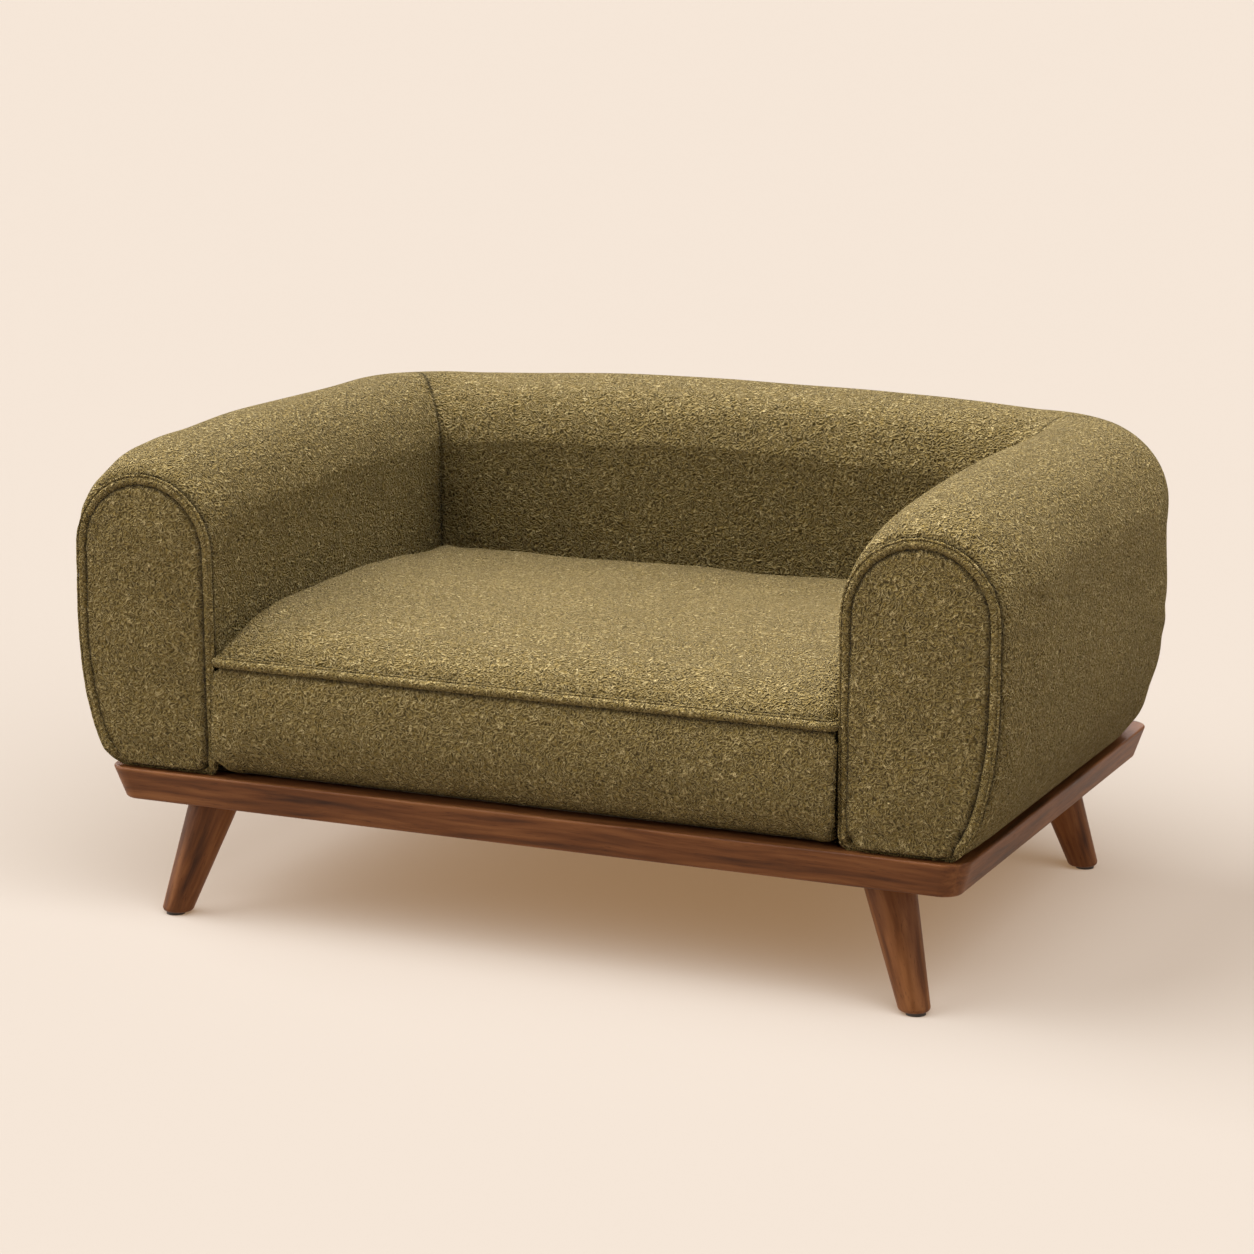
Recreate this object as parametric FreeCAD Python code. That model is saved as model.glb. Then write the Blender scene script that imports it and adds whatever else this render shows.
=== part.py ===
"""Dog bed: a padded three-sided bolster and a loose cushion on a walnut platform with splayed legs.

Millimetres. +X runs from the bed's left arm to its right arm, +Y to the back, +Z up.
The origin lies on the floor, under the middle of the bed's outline.
"""
import FreeCAD, Part
import math
import os

Vector = FreeCAD.Vector

# --- Platform ---------------------------------------------------------------
PLATFORM_WIDTH = 900.0
PLATFORM_DEPTH = 620.0
FLOOR_TO_RAILS = 122.0
RAIL_HEIGHT = 34.0
RAIL_WIDTH = 44.0
RAIL_LEAN = 11.0            # how far a rail's outer face leans in from top to bottom
RAIL_CORNER_RADIUS = 24.0
RAIL_TOP_ARRIS = 2.0
RAIL_LOWER_ARRIS = 4.0
DECK_THICKNESS = 12.0
DECK_LAP = 12.0             # width of the rebate that the deck lies in
BRACE_WIDTH = 70.0
CORNER_BLOCK_SIZE = 110.0
CORNER_BLOCK_CHAMFER = 50.0
SPLINE_LENGTH = 26.0        # along the mitre
SPLINE_WIDTH = 24.0         # across the mitre
SPLINE_THICKNESS = 5.0

# --- Legs -------------------------------------------------------------------
FOOT_INSET_X = 56.0         # from the platform's edge to the middle of a foot
FOOT_INSET_Y = 38.0
LEG_SPLAY_X = 37.0          # how far a leg's top stands inwards of its foot
LEG_SPLAY_Y = 22.0
LEG_TOP_RADIUS = 25.0
LEG_FOOT_RADIUS = 14.5
LEG_FOOT_ROUND = 4.0
GLIDE_RADIUS = 9.5
GLIDE_HEIGHT = 3.0
GLIDE_PIN_RADIUS = 1.5
GLIDE_PIN_LENGTH = 14.0
LEG_BOLT_RADIUS = 4.0
LEG_BOLT_IN_LEG = 34.0
LEG_BOLT_IN_BLOCK = 16.0
INSERT_RADIUS = 7.0
INSERT_LENGTH = 18.0

# --- Bolster: two arms and a back of one thickness ----------------------------
BOLSTER_THICKNESS = 160.0
SIDE_OVERHANG = 37.0        # how far an arm bulges past the platform's side
BACK_OVERHANG = 44.0        # how far the back bulges past the platform's back edge
FRONT_SETBACK = 6.0         # from the platform's front edge to the arms' front panels
ARM_RISE = 331.0            # from the deck to the arms' top at the corners
ARM_FRONT_DROP = 6.0        # how far an arm's top falls from the corner to its front roll
BACK_CROWN = 11.0           # how far the back's top rises from the corners to its middle
TOP_ARCH_HEIGHT = 84.0
SKIRT_REACH = 55.0          # the outer side curves in by this at its bottom
SKIRT_RISE = 155.0          # and does so over this height
INNER_EDGE_RADIUS = 12.0
LEAST_EDGE_RADIUS = 1.0     # rounding left on the inner edge of a deep inset
CORNER_EASE = 2.0           # inner corner radius between arm and back
ROLL_DEPTH = 85.0           # front to back length of the arms' rolled front
PANEL_NARROWING = 11.0      # by how much a front panel is narrower than its arm
PANEL_DROP = 30.0           # from the arm's top at its front roll to the panel's top
PANEL_SKIRT_REACH = 50.0
COVER_THICKNESS = 3.0
WELT_RADIUS = 4.0
WELT_SET_IN = 1.0           # welt's middle behind the front panel's face
BOARD_THICKNESS = 18.0      # bases, uprights and arched front boards
BASE_EDGE_MARGIN = 7.0      # from a base's outer edge to the line where the skirt meets the deck
UPRIGHT_SET_IN = 20.0       # from a base's outer edge to its upright
UPRIGHT_TOP_DROP = 72.0     # from the crest of an arm to the top of its upright
FRONT_PAD_DEPTH = 22.0

# --- Loose cushion ------------------------------------------------------------
SEAM_HEIGHT = 115.5         # of the cushion's welt above the deck
CROWN_RISE = 36.5           # from the welt to the crown
CROWN_BEHIND_FRONT = 243.0  # from the cushion's front to its crown
BACK_CROWN_DROP = 11.0      # from the crown to the cushion's rear shoulder
SHOULDER_REACH = 26.0       # how far the top curves over at the sides and back
TOE_REACH = 22.0            # how far the front curves in at its bottom
TOE_RISE = 50.0
CUSHION_COVER = 2.5
CUSHION_FRONT_CORNER = 30.0
CUSHION_BACK_CORNER = 12.0
CUSHION_WELT_RADIUS = 4.0
CUSHION_WELT_PROUD = 3.0
CUSHION_HEM = 12.0          # the boxing's lower seam above the cushion's underside
CUSHION_SIDE_GAP = 1.2      # from the cushion's welt to the arms
CUSHION_BACK_GAP = 3.0      # from the cushion's welt to the back
CUSHION_LIFT_GAP = 0.3      # under the cushion at rest
ZIP_LENGTH = 560.0
ZIP_TAPE_HEIGHT = 26.0
ZIP_TAPE_THICKNESS = 1.2
ZIP_CHAIN_WIDTH = 5.0
ZIP_CHAIN_HEIGHT = 1.6
ZIP_CENTRE_HEIGHT = 62.0    # of the zip above the cushion's underside
SLIDER_LENGTH = 12.0
SLIDER_WALL = 1.0
SLIDER_CLEARANCE = 0.3

# --- Fixings and clearances -----------------------------------------------------
FIT_GAP = 0.4               # between foam and what it wraps or fills
HOLE_CLEARANCE = 0.05
SCREW_RADIUS = 2.0
SCREW_HEAD_RADIUS = 4.0
SCREW_LENGTH = 25.0
SCREWS_ALONG = 4
SCREWS_ACROSS = 2
BOLT_RADIUS = 3.0
BOLT_HEAD_RADIUS = 6.0
BOLT_HEAD_HEIGHT = 4.0
NUT_FLANGE_RADIUS = 9.5
NUT_FLANGE_HEIGHT = 1.5
NUT_BARREL_RADIUS = 4.0
NUT_BARREL_LENGTH = 10.0
BOLT_TIP = 5.0              # how far a bolt stands out of its tee nut

# --- Worked out from the sizes above --------------------------------------------
DECK_TOP = FLOOR_TO_RAILS + RAIL_HEIGHT
DECK_UNDERSIDE = DECK_TOP - DECK_THICKNESS
PLATFORM_Y = -BACK_OVERHANG / 2.0
HALF_WIDTH = PLATFORM_WIDTH / 2.0
HALF_DEPTH = PLATFORM_DEPTH / 2.0
INNER_X = HALF_WIDTH + SIDE_OVERHANG - BOLSTER_THICKNESS
INNER_Y = PLATFORM_Y + HALF_DEPTH + BACK_OVERHANG - BOLSTER_THICKNESS
PIVOT_X = INNER_X - CORNER_EASE
PIVOT_Y = INNER_Y - CORNER_EASE
FRONT_Y = PLATFORM_Y - HALF_DEPTH + FRONT_SETBACK
ROLL_START_Y = FRONT_Y + ROLL_DEPTH
ARM_CREST = DECK_TOP + ARM_RISE
ARM_FRONT_CREST = ARM_CREST - ARM_FRONT_DROP
BACK_CREST = ARM_CREST + BACK_CROWN
PANEL_CREST = ARM_FRONT_CREST - PANEL_DROP
PANEL_WIDTH = BOLSTER_THICKNESS - PANEL_NARROWING
FOAM_INSET = COVER_THICKNESS + FIT_GAP
BASE_UNDERSIDE = DECK_TOP + FOAM_INSET
BASE_TOP = BASE_UNDERSIDE + BOARD_THICKNESS
BASE_INNER = INNER_EDGE_RADIUS
BASE_OUTER = BOLSTER_THICKNESS - SKIRT_REACH - BASE_EDGE_MARGIN
UPRIGHT_OUTER = BASE_OUTER - UPRIGHT_SET_IN
UPRIGHT_INNER = UPRIGHT_OUTER - BOARD_THICKNESS
BOLT_FROM_INNER_FACE = (BASE_INNER + UPRIGHT_INNER) / 2.0
FRONT_BOARD_Y = FRONT_Y + FOAM_INSET + FRONT_PAD_DEPTH
UPRIGHT_TOP = ARM_CREST - UPRIGHT_TOP_DROP
CUSHION_UNDERSIDE = DECK_TOP + CUSHION_LIFT_GAP
CUSHION_SEAM_Z = DECK_TOP + SEAM_HEIGHT
CUSHION_HALF_WIDTH = INNER_X - CUSHION_SIDE_GAP - CUSHION_WELT_PROUD
CUSHION_BACK_Y = INNER_Y - CUSHION_BACK_GAP - CUSHION_WELT_PROUD
CUSHION_CROWN_Z = CUSHION_SEAM_Z + CROWN_RISE
ZIP_Z = CUSHION_UNDERSIDE + ZIP_CENTRE_HEIGHT
CUSHION_PLAN_CORNERS = (CUSHION_FRONT_CORNER, CUSHION_FRONT_CORNER, CUSHION_BACK_CORNER, CUSHION_BACK_CORNER)
UP = Vector(0, 0, 1)


# --- Plain helpers -----------------------------------------------------------------
def box(low, high):
    """Box between two opposite corners."""
    size = [high[i] - low[i] for i in range(3)]
    return Part.makeBox(size[0], size[1], size[2], Vector(*low))


def fuse_all(shapes):
    """One solid made of shapes that touch or overlap."""
    return shapes[0].fuse(shapes[1:]).removeSplitter()


def mirrored(shape):
    """The same shape on the other side of the bed."""
    return shape.mirror(Vector(0, 0, 0), Vector(1, 0, 0))


def line(start, end):
    """Straight edge."""
    return Part.makeLine(start, end)


def quarter(start, corner, end):
    """Exact quarter of an ellipse from start to end, tangent to the lines that meet at the corner."""
    curve = Part.BezierCurve()
    curve.setPoles([start, corner, end])
    curve.setWeight(2, math.sqrt(0.5))
    return curve.toShape()


def rounded_rectangle(x0, y0, x1, y1, z, radii):
    """Closed wire in plan; radii are given from the front left corner anticlockwise."""
    front_left, front_right, back_right, back_left = radii
    edges = [
        line(Vector(x0 + front_left, y0, z), Vector(x1 - front_right, y0, z)),
        quarter(Vector(x1 - front_right, y0, z), Vector(x1, y0, z), Vector(x1, y0 + front_right, z)),
        line(Vector(x1, y0 + front_right, z), Vector(x1, y1 - back_right, z)),
        quarter(Vector(x1, y1 - back_right, z), Vector(x1, y1, z), Vector(x1 - back_right, y1, z)),
        line(Vector(x1 - back_right, y1, z), Vector(x0 + back_left, y1, z)),
        quarter(Vector(x0 + back_left, y1, z), Vector(x0, y1, z), Vector(x0, y1 - back_left, z)),
        line(Vector(x0, y1 - back_left, z), Vector(x0, y0 + front_left, z)),
        quarter(Vector(x0, y0 + front_left, z), Vector(x0, y0, z), Vector(x0 + front_left, y0, z)),
    ]
    return Part.Wire(edges)


def corner_signs():
    """Name and side signs of the four corners of the platform."""
    return [("front_left", -1, -1), ("front_right", 1, -1), ("back_left", -1, 1), ("back_right", 1, 1)]


# --- Platform -----------------------------------------------------------------------
def platform_outline(z, lean):
    """Rounded rectangle of the platform's outside at one height."""
    radius = RAIL_CORNER_RADIUS - lean / 2.0
    return rounded_rectangle(-HALF_WIDTH + lean, PLATFORM_Y - HALF_DEPTH + lean,
                             HALF_WIDTH - lean, PLATFORM_Y + HALF_DEPTH - lean, z, [radius] * 4)


def platform_box(margin, z0, z1):
    """Box in plan with the platform, smaller by the margin on every side."""
    return box((-HALF_WIDTH + margin, PLATFORM_Y - HALF_DEPTH + margin, z0),
               (HALF_WIDTH - margin, PLATFORM_Y + HALF_DEPTH - margin, z1))


def rail_ring():
    """The four rails as one ring, with eased outer edges, the deck's rebate and an open middle."""
    ring = Part.makeLoft([platform_outline(FLOOR_TO_RAILS, RAIL_LEAN), platform_outline(DECK_TOP, 0.0)],
                         True, True)
    upper = [e for e in ring.Edges if e.BoundBox.ZMin > DECK_TOP - 0.01]
    lower = [e for e in ring.Edges if e.BoundBox.ZMax < FLOOR_TO_RAILS + 0.01]
    ring = ring.makeFillet(RAIL_TOP_ARRIS, upper)
    lower = [e for e in ring.Edges if e.BoundBox.ZMax < FLOOR_TO_RAILS + 0.01]
    ring = ring.makeFillet(RAIL_LOWER_ARRIS, lower)
    opening = platform_box(RAIL_WIDTH, FLOOR_TO_RAILS - 1, DECK_TOP + 1)
    rebate = platform_box(RAIL_WIDTH - DECK_LAP, DECK_UNDERSIDE, DECK_TOP + 1)
    return ring.cut([opening, rebate])


def mitre_prism(side):
    """Prism that holds one side of the platform between the two mitres at its ends."""
    reach = HALF_DEPTH
    x0, x1 = -HALF_WIDTH, HALF_WIDTH
    y0, y1 = PLATFORM_Y - HALF_DEPTH, PLATFORM_Y + HALF_DEPTH
    corners = {
        "front": [(x0, y0), (x1, y0), (x1 - reach, y0 + reach), (x0 + reach, y0 + reach)],
        "back": [(x1, y1), (x0, y1), (x0 + reach, y1 - reach), (x1 - reach, y1 - reach)],
        "left": [(x0, y1), (x0, y0), (x0 + reach, y0 + reach)],
        "right": [(x1, y0), (x1, y1), (x1 - reach, y1 - reach)],
    }[side]
    points = [Vector(x, y, FLOOR_TO_RAILS - 1) for x, y in corners]
    face = Part.Face(Part.makePolygon(points + points[:1]))
    return face.extrude(Vector(0, 0, RAIL_HEIGHT + 2))


def mitre_spline(sign_x, sign_y, clearance):
    """Loose tongue across one mitre, inside the rails."""
    long, wide, thick = [s / 2.0 + clearance for s in (SPLINE_LENGTH, SPLINE_WIDTH, SPLINE_THICKNESS)]
    tongue = box((-long, -wide, -thick), (long, wide, thick))
    tongue.rotate(Vector(0, 0, 0), UP, math.degrees(math.atan2(sign_y, sign_x)))
    middle = RAIL_WIDTH / 2.0 + RAIL_LEAN / 2.0
    tongue.translate(Vector(sign_x * (HALF_WIDTH - middle), PLATFORM_Y + sign_y * (HALF_DEPTH - middle),
                            (FLOOR_TO_RAILS + DECK_UNDERSIDE) / 2.0))
    return tongue


def deck_screw_places():
    """Where the deck's screws stand: in the middle of the rebate, along all four sides."""
    inset = RAIL_WIDTH - DECK_LAP / 2.0
    half_x, half_y = HALF_WIDTH - inset, HALF_DEPTH - inset
    places = []
    for sign in (-1, 1):
        for i in range(SCREWS_ALONG):
            x = half_x * (2.0 * (i + 0.5) / SCREWS_ALONG - 1.0)
            places.append((x, PLATFORM_Y + sign * half_y))
        for i in range(SCREWS_ACROSS):
            y = half_y * (2.0 * (i + 0.5) / SCREWS_ACROSS - 1.0)
            places.append((sign * half_x, PLATFORM_Y + y))
    return places


def deck_screw(x, y, clearance):
    """Countersunk screw, flush with the deck."""
    head_height = SCREW_HEAD_RADIUS - SCREW_RADIUS
    head = Part.makeCone(SCREW_RADIUS + clearance, SCREW_HEAD_RADIUS + clearance, head_height,
                         Vector(x, y, DECK_TOP - head_height))
    shank = Part.makeCylinder(SCREW_RADIUS + clearance, SCREW_LENGTH - head_height,
                              Vector(x, y, DECK_TOP - SCREW_LENGTH))
    return head.fuse(shank).removeSplitter()


def corner_block(sign_x, sign_y):
    """Block glued into an inner corner of the rails, under the deck, with its free corner taken off."""
    x, y = HALF_WIDTH - RAIL_WIDTH, HALF_DEPTH - RAIL_WIDTH
    size, cut = CORNER_BLOCK_SIZE, CORNER_BLOCK_CHAMFER
    corners = [(x, y), (x - size, y), (x - size, y - size + cut), (x - size + cut, y - size), (x, y - size)]
    points = [Vector(sign_x * px, PLATFORM_Y + sign_y * py, FLOOR_TO_RAILS) for px, py in corners]
    face = Part.Face(Part.makePolygon(points + points[:1]))
    return face.extrude(Vector(0, 0, DECK_UNDERSIDE - FLOOR_TO_RAILS))


# --- Legs ---------------------------------------------------------------------------
def leg_line(sign_x, sign_y):
    """Foot, top and unit direction of one leg's axis."""
    foot = Vector(sign_x * (HALF_WIDTH - FOOT_INSET_X), PLATFORM_Y + sign_y * (HALF_DEPTH - FOOT_INSET_Y), 0)
    top = foot + Vector(-sign_x * LEG_SPLAY_X, -sign_y * LEG_SPLAY_Y, FLOOR_TO_RAILS)
    return foot, top, (top - foot).normalize()


def rod_on_leg(sign_x, sign_y, radius, below, above):
    """Rod on a leg's axis, measured down and up from the leg's top."""
    _, top, direction = leg_line(sign_x, sign_y)
    return Part.makeCylinder(radius, below + above, top - direction * below, direction)


def glide(sign_x, sign_y, clearance):
    """Floor glide: a low disc with a pin that is driven up into the leg."""
    foot, _, _ = leg_line(sign_x, sign_y)
    disc = Part.makeCylinder(GLIDE_RADIUS, GLIDE_HEIGHT, foot)
    pin = Part.makeCylinder(GLIDE_PIN_RADIUS + clearance, GLIDE_PIN_LENGTH, foot + UP * GLIDE_HEIGHT)
    return disc.fuse(pin).removeSplitter()


def leg(sign_x, sign_y):
    """Tapered round leg, cut level at the rails and above the glide."""
    foot, top, direction = leg_line(sign_x, sign_y)
    length = (top - foot).Length
    growth = (LEG_TOP_RADIUS - LEG_FOOT_RADIUS) / length
    spare = 20.0
    cone = Part.makeCone(LEG_FOOT_RADIUS - growth * spare, LEG_TOP_RADIUS + growth * spare,
                         length + 2 * spare, foot - direction * spare, direction)
    reach = LEG_SPLAY_X + LEG_TOP_RADIUS + 2 * spare
    slab = box((foot.x - reach, foot.y - reach, GLIDE_HEIGHT), (foot.x + reach, foot.y + reach, FLOOR_TO_RAILS))
    body = cone.common(slab)
    rim = [e for e in body.Edges if e.BoundBox.ZMax < GLIDE_HEIGHT + 0.01]
    body = body.makeFillet(LEG_FOOT_ROUND, rim)
    bolt_hole = rod_on_leg(sign_x, sign_y, LEG_BOLT_RADIUS + HOLE_CLEARANCE, LEG_BOLT_IN_LEG, spare)
    return body.cut([bolt_hole, glide(sign_x, sign_y, HOLE_CLEARANCE)])


def insert_nut(sign_x, sign_y):
    """Threaded insert in the corner block, in line with the leg."""
    inset = rod_on_leg(sign_x, sign_y, INSERT_RADIUS, INSERT_LENGTH, INSERT_LENGTH)
    bore = rod_on_leg(sign_x, sign_y, LEG_BOLT_RADIUS + HOLE_CLEARANCE, 2 * INSERT_LENGTH, 2 * INSERT_LENGTH)
    half_space = box((-PLATFORM_WIDTH, -PLATFORM_WIDTH, FLOOR_TO_RAILS),
                     (PLATFORM_WIDTH, PLATFORM_WIDTH, FLOOR_TO_RAILS + INSERT_LENGTH))
    return inset.common(half_space).cut(bore)


# --- Bolster sections ------------------------------------------------------------------
class Section:
    """Outline across the bolster: u runs outwards from the inner face, z up."""

    def __init__(self, width, crest, arch, reach, rise):
        self.width = width
        self.crest = crest
        self.arch = arch
        self.reach = reach
        self.rise = rise

    def mixed(self, other, share):
        """Section part of the way to another one."""
        pairs = zip(vars(self).values(), vars(other).values())
        return Section(*[a + (b - a) * share for a, b in pairs])

    def wire(self, inset):
        """Closed outline in the XZ plane, moved in by the inset all round."""
        low, high = DECK_TOP + inset, self.crest - inset
        near, far, middle = inset, self.width - inset, self.width / 2.0
        spring, knee = self.crest - self.arch, DECK_TOP + self.rise
        toe, heel = self.width - self.reach, max(INNER_EDGE_RADIUS, inset + LEAST_EDGE_RADIUS)

        def at(u, z):
            return Vector(u, 0, z)

        return Part.Wire([
            line(at(near, DECK_TOP + heel), at(near, spring)),
            quarter(at(near, spring), at(near, high), at(middle, high)),
            quarter(at(middle, high), at(far, high), at(far, spring)),
            line(at(far, spring), at(far, knee)),
            quarter(at(far, knee), at(far, low), at(toe, low)),
            line(at(toe, low), at(heel, low)),
            quarter(at(heel, low), at(near, low), at(near, DECK_TOP + heel)),
        ])


def arm_section(crest):
    """Full section of the bolster with its top at one height."""
    return Section(BOLSTER_THICKNESS, crest, TOP_ARCH_HEIGHT, SKIRT_REACH, SKIRT_RISE)


def panel_section():
    """Section that the arm has rolled down to at its front panel."""
    return Section(PANEL_WIDTH, PANEL_CREST, PANEL_WIDTH / 2.0, PANEL_SKIRT_REACH, SKIRT_RISE)


def arm_wire(section, inset, y):
    """Section of the right arm at one place along it."""
    wire = section.wire(inset)
    wire.translate(Vector(INNER_X, y, 0))
    return wire


def back_wire(section, inset, x):
    """Section of the back at one place along it."""
    wire = section.wire(inset)
    wire.rotate(Vector(0, 0, 0), UP, 90)
    wire.translate(Vector(x, INNER_Y, 0))
    return wire


def corner_sector(inset, first_angle):
    """Eighth of a turn of the bolster round its inner right corner."""
    pivot = Vector(PIVOT_X, PIVOT_Y, 0)
    face = Part.Face(arm_wire(arm_section(ARM_CREST), inset, PIVOT_Y))
    face.rotate(pivot, UP, first_angle)
    return face.revolve(pivot, UP, 45)


def right_arm_solid(inset):
    """Right arm up to the mitre in the corner, moved in by the inset."""
    full, panel = arm_section(ARM_FRONT_CREST), panel_section()
    straight = Part.makeLoft([arm_wire(arm_section(ARM_CREST), inset, PIVOT_Y),
                              arm_wire(full, inset, ROLL_START_Y)], True, True)
    depth = ROLL_DEPTH - inset
    roll_wires = []
    for degrees in (0, 30, 60, 80, 90):
        angle = math.radians(degrees)
        wire = arm_wire(full.mixed(panel, 1 - math.cos(angle)), inset, ROLL_START_Y - depth * math.sin(angle))
        roll_wires.append(wire)
    roll = Part.makeLoft(roll_wires, True, True)
    return fuse_all([roll, straight, corner_sector(inset, 0)])


def back_solid(inset):
    """Back between the mitres of both corners, with a slightly crowned top."""
    crests = ((-PIVOT_X, ARM_CREST), (0.0, BACK_CREST), (PIVOT_X, ARM_CREST))
    straight = Part.makeLoft([back_wire(arm_section(crest), inset, x) for x, crest in crests], True, False)
    sector = corner_sector(inset, 45)
    return fuse_all([mirrored(sector), straight, sector])


# --- Bolster frame: bases, uprights and arched front boards ------------------------------
# Each board can be grown by a gap all round, for the hollow that it takes up in the foam.
def arm_base(gap):
    """Board on the deck, along the right arm, up to the base of the back."""
    return box((INNER_X + BASE_INNER - gap, FRONT_BOARD_Y - gap, BASE_UNDERSIDE - gap),
               (INNER_X + BASE_OUTER + gap, INNER_Y + BASE_INNER + gap, BASE_TOP + gap))


def back_base(gap):
    """Board on the deck, along the back, with its outer corners taken off to follow the rounded bolster."""
    from_pivot = BASE_OUTER + CORNER_EASE
    kept = math.sqrt((from_pivot + BASE_EDGE_MARGIN) ** 2 - from_pivot ** 2) + gap * math.tan(math.pi / 8)
    x, y = INNER_X + BASE_OUTER + gap, INNER_Y + BASE_OUTER + gap
    front = INNER_Y + BASE_INNER - gap
    right = [(x, front), (x, PIVOT_Y + kept), (PIVOT_X + kept, y)]
    corners = right + [(-px, py) for px, py in reversed(right)]
    points = [Vector(px, py, BASE_UNDERSIDE - gap) for px, py in corners]
    face = Part.Face(Part.makePolygon(points + points[:1]))
    return face.extrude(Vector(0, 0, BOARD_THICKNESS + 2 * gap))


def arm_upright(gap):
    """Board that stands on the arm's base between the front board and the back's upright."""
    return box((INNER_X + UPRIGHT_INNER - gap, FRONT_BOARD_Y + BOARD_THICKNESS - gap, BASE_TOP - gap),
               (INNER_X + UPRIGHT_OUTER + gap, INNER_Y + UPRIGHT_INNER + gap, UPRIGHT_TOP + gap))


def back_upright(gap):
    """Board that stands on the back's base from arm to arm."""
    half = INNER_X + UPRIGHT_OUTER + gap
    return box((-half, INNER_Y + UPRIGHT_INNER - gap, BASE_TOP - gap),
               (half, INNER_Y + UPRIGHT_OUTER + gap, UPRIGHT_TOP + gap))


def arm_front_board(gap):
    """Arched board behind the front pad, standing on the arm's base."""
    wire = arm_wire(panel_section(), BASE_TOP - DECK_TOP - gap, FRONT_BOARD_Y - gap)
    return Part.Face(wire).extrude(Vector(0, BOARD_THICKNESS + 2 * gap, 0))


def bolt_places():
    """Where the bolster is bolted down, away from the corner blocks and the brace."""
    arm_x = INNER_X + BOLT_FROM_INNER_FACE
    back_y = INNER_Y + BOLT_FROM_INNER_FACE
    arm_span = PLATFORM_DEPTH - 2 * (RAIL_WIDTH + CORNER_BLOCK_SIZE)
    back_span = PLATFORM_WIDTH - 2 * (RAIL_WIDTH + CORNER_BLOCK_SIZE)
    places = []
    for sign_x in (-1, 1):
        for share in (-0.25, 0.25):
            places.append((sign_x * arm_x, PLATFORM_Y + share * arm_span))
        for share in (0.15, 0.42):
            places.append((sign_x * share * back_span, back_y))
    return places


def bolster_bolt(x, y, clearance):
    """Bolt from under the deck up into the bolster's base."""
    length = BASE_TOP + NUT_FLANGE_HEIGHT + BOLT_TIP - DECK_UNDERSIDE
    shank = Part.makeCylinder(BOLT_RADIUS + clearance, length, Vector(x, y, DECK_UNDERSIDE))
    head = Part.makeCylinder(BOLT_HEAD_RADIUS, BOLT_HEAD_HEIGHT, Vector(x, y, DECK_UNDERSIDE - BOLT_HEAD_HEIGHT))
    return head.fuse(shank).removeSplitter()


def tee_nut(x, y, clearance):
    """Flanged nut let into the base from above."""
    flange = Part.makeCylinder(NUT_FLANGE_RADIUS, NUT_FLANGE_HEIGHT, Vector(x, y, BASE_TOP))
    barrel = Part.makeCylinder(NUT_BARREL_RADIUS + clearance, NUT_BARREL_LENGTH,
                               Vector(x, y, BASE_TOP - NUT_BARREL_LENGTH))
    return flange.fuse(barrel).removeSplitter()


def nut_pocket(x, y):
    """Hollow that the foam leaves over a nut and the tip of its bolt."""
    return Part.makeCylinder(NUT_FLANGE_RADIUS + FIT_GAP, NUT_FLANGE_HEIGHT + BOLT_TIP + FIT_GAP,
                             Vector(x, y, BASE_TOP))


# --- Arm covers, front panels and welts -----------------------------------------------------
def arm_welt(clearance):
    """Piping round the right arm's front panel."""
    path = arm_wire(panel_section(), WELT_RADIUS, FRONT_Y + WELT_SET_IN)
    start = path.OrderedEdges[0]
    direction = start.tangentAt(start.FirstParameter)
    ring = Part.Wire(Part.makeCircle(WELT_RADIUS + clearance, start.valueAt(start.FirstParameter), direction))
    return path.makePipeShell([ring], True, False)


def panel_prism():
    """Region of the front panel, up to the middle of its welt."""
    face = Part.Face(arm_wire(panel_section(), WELT_RADIUS, FRONT_Y - 1))
    return face.extrude(Vector(0, COVER_THICKNESS + 1.2, 0))


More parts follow.
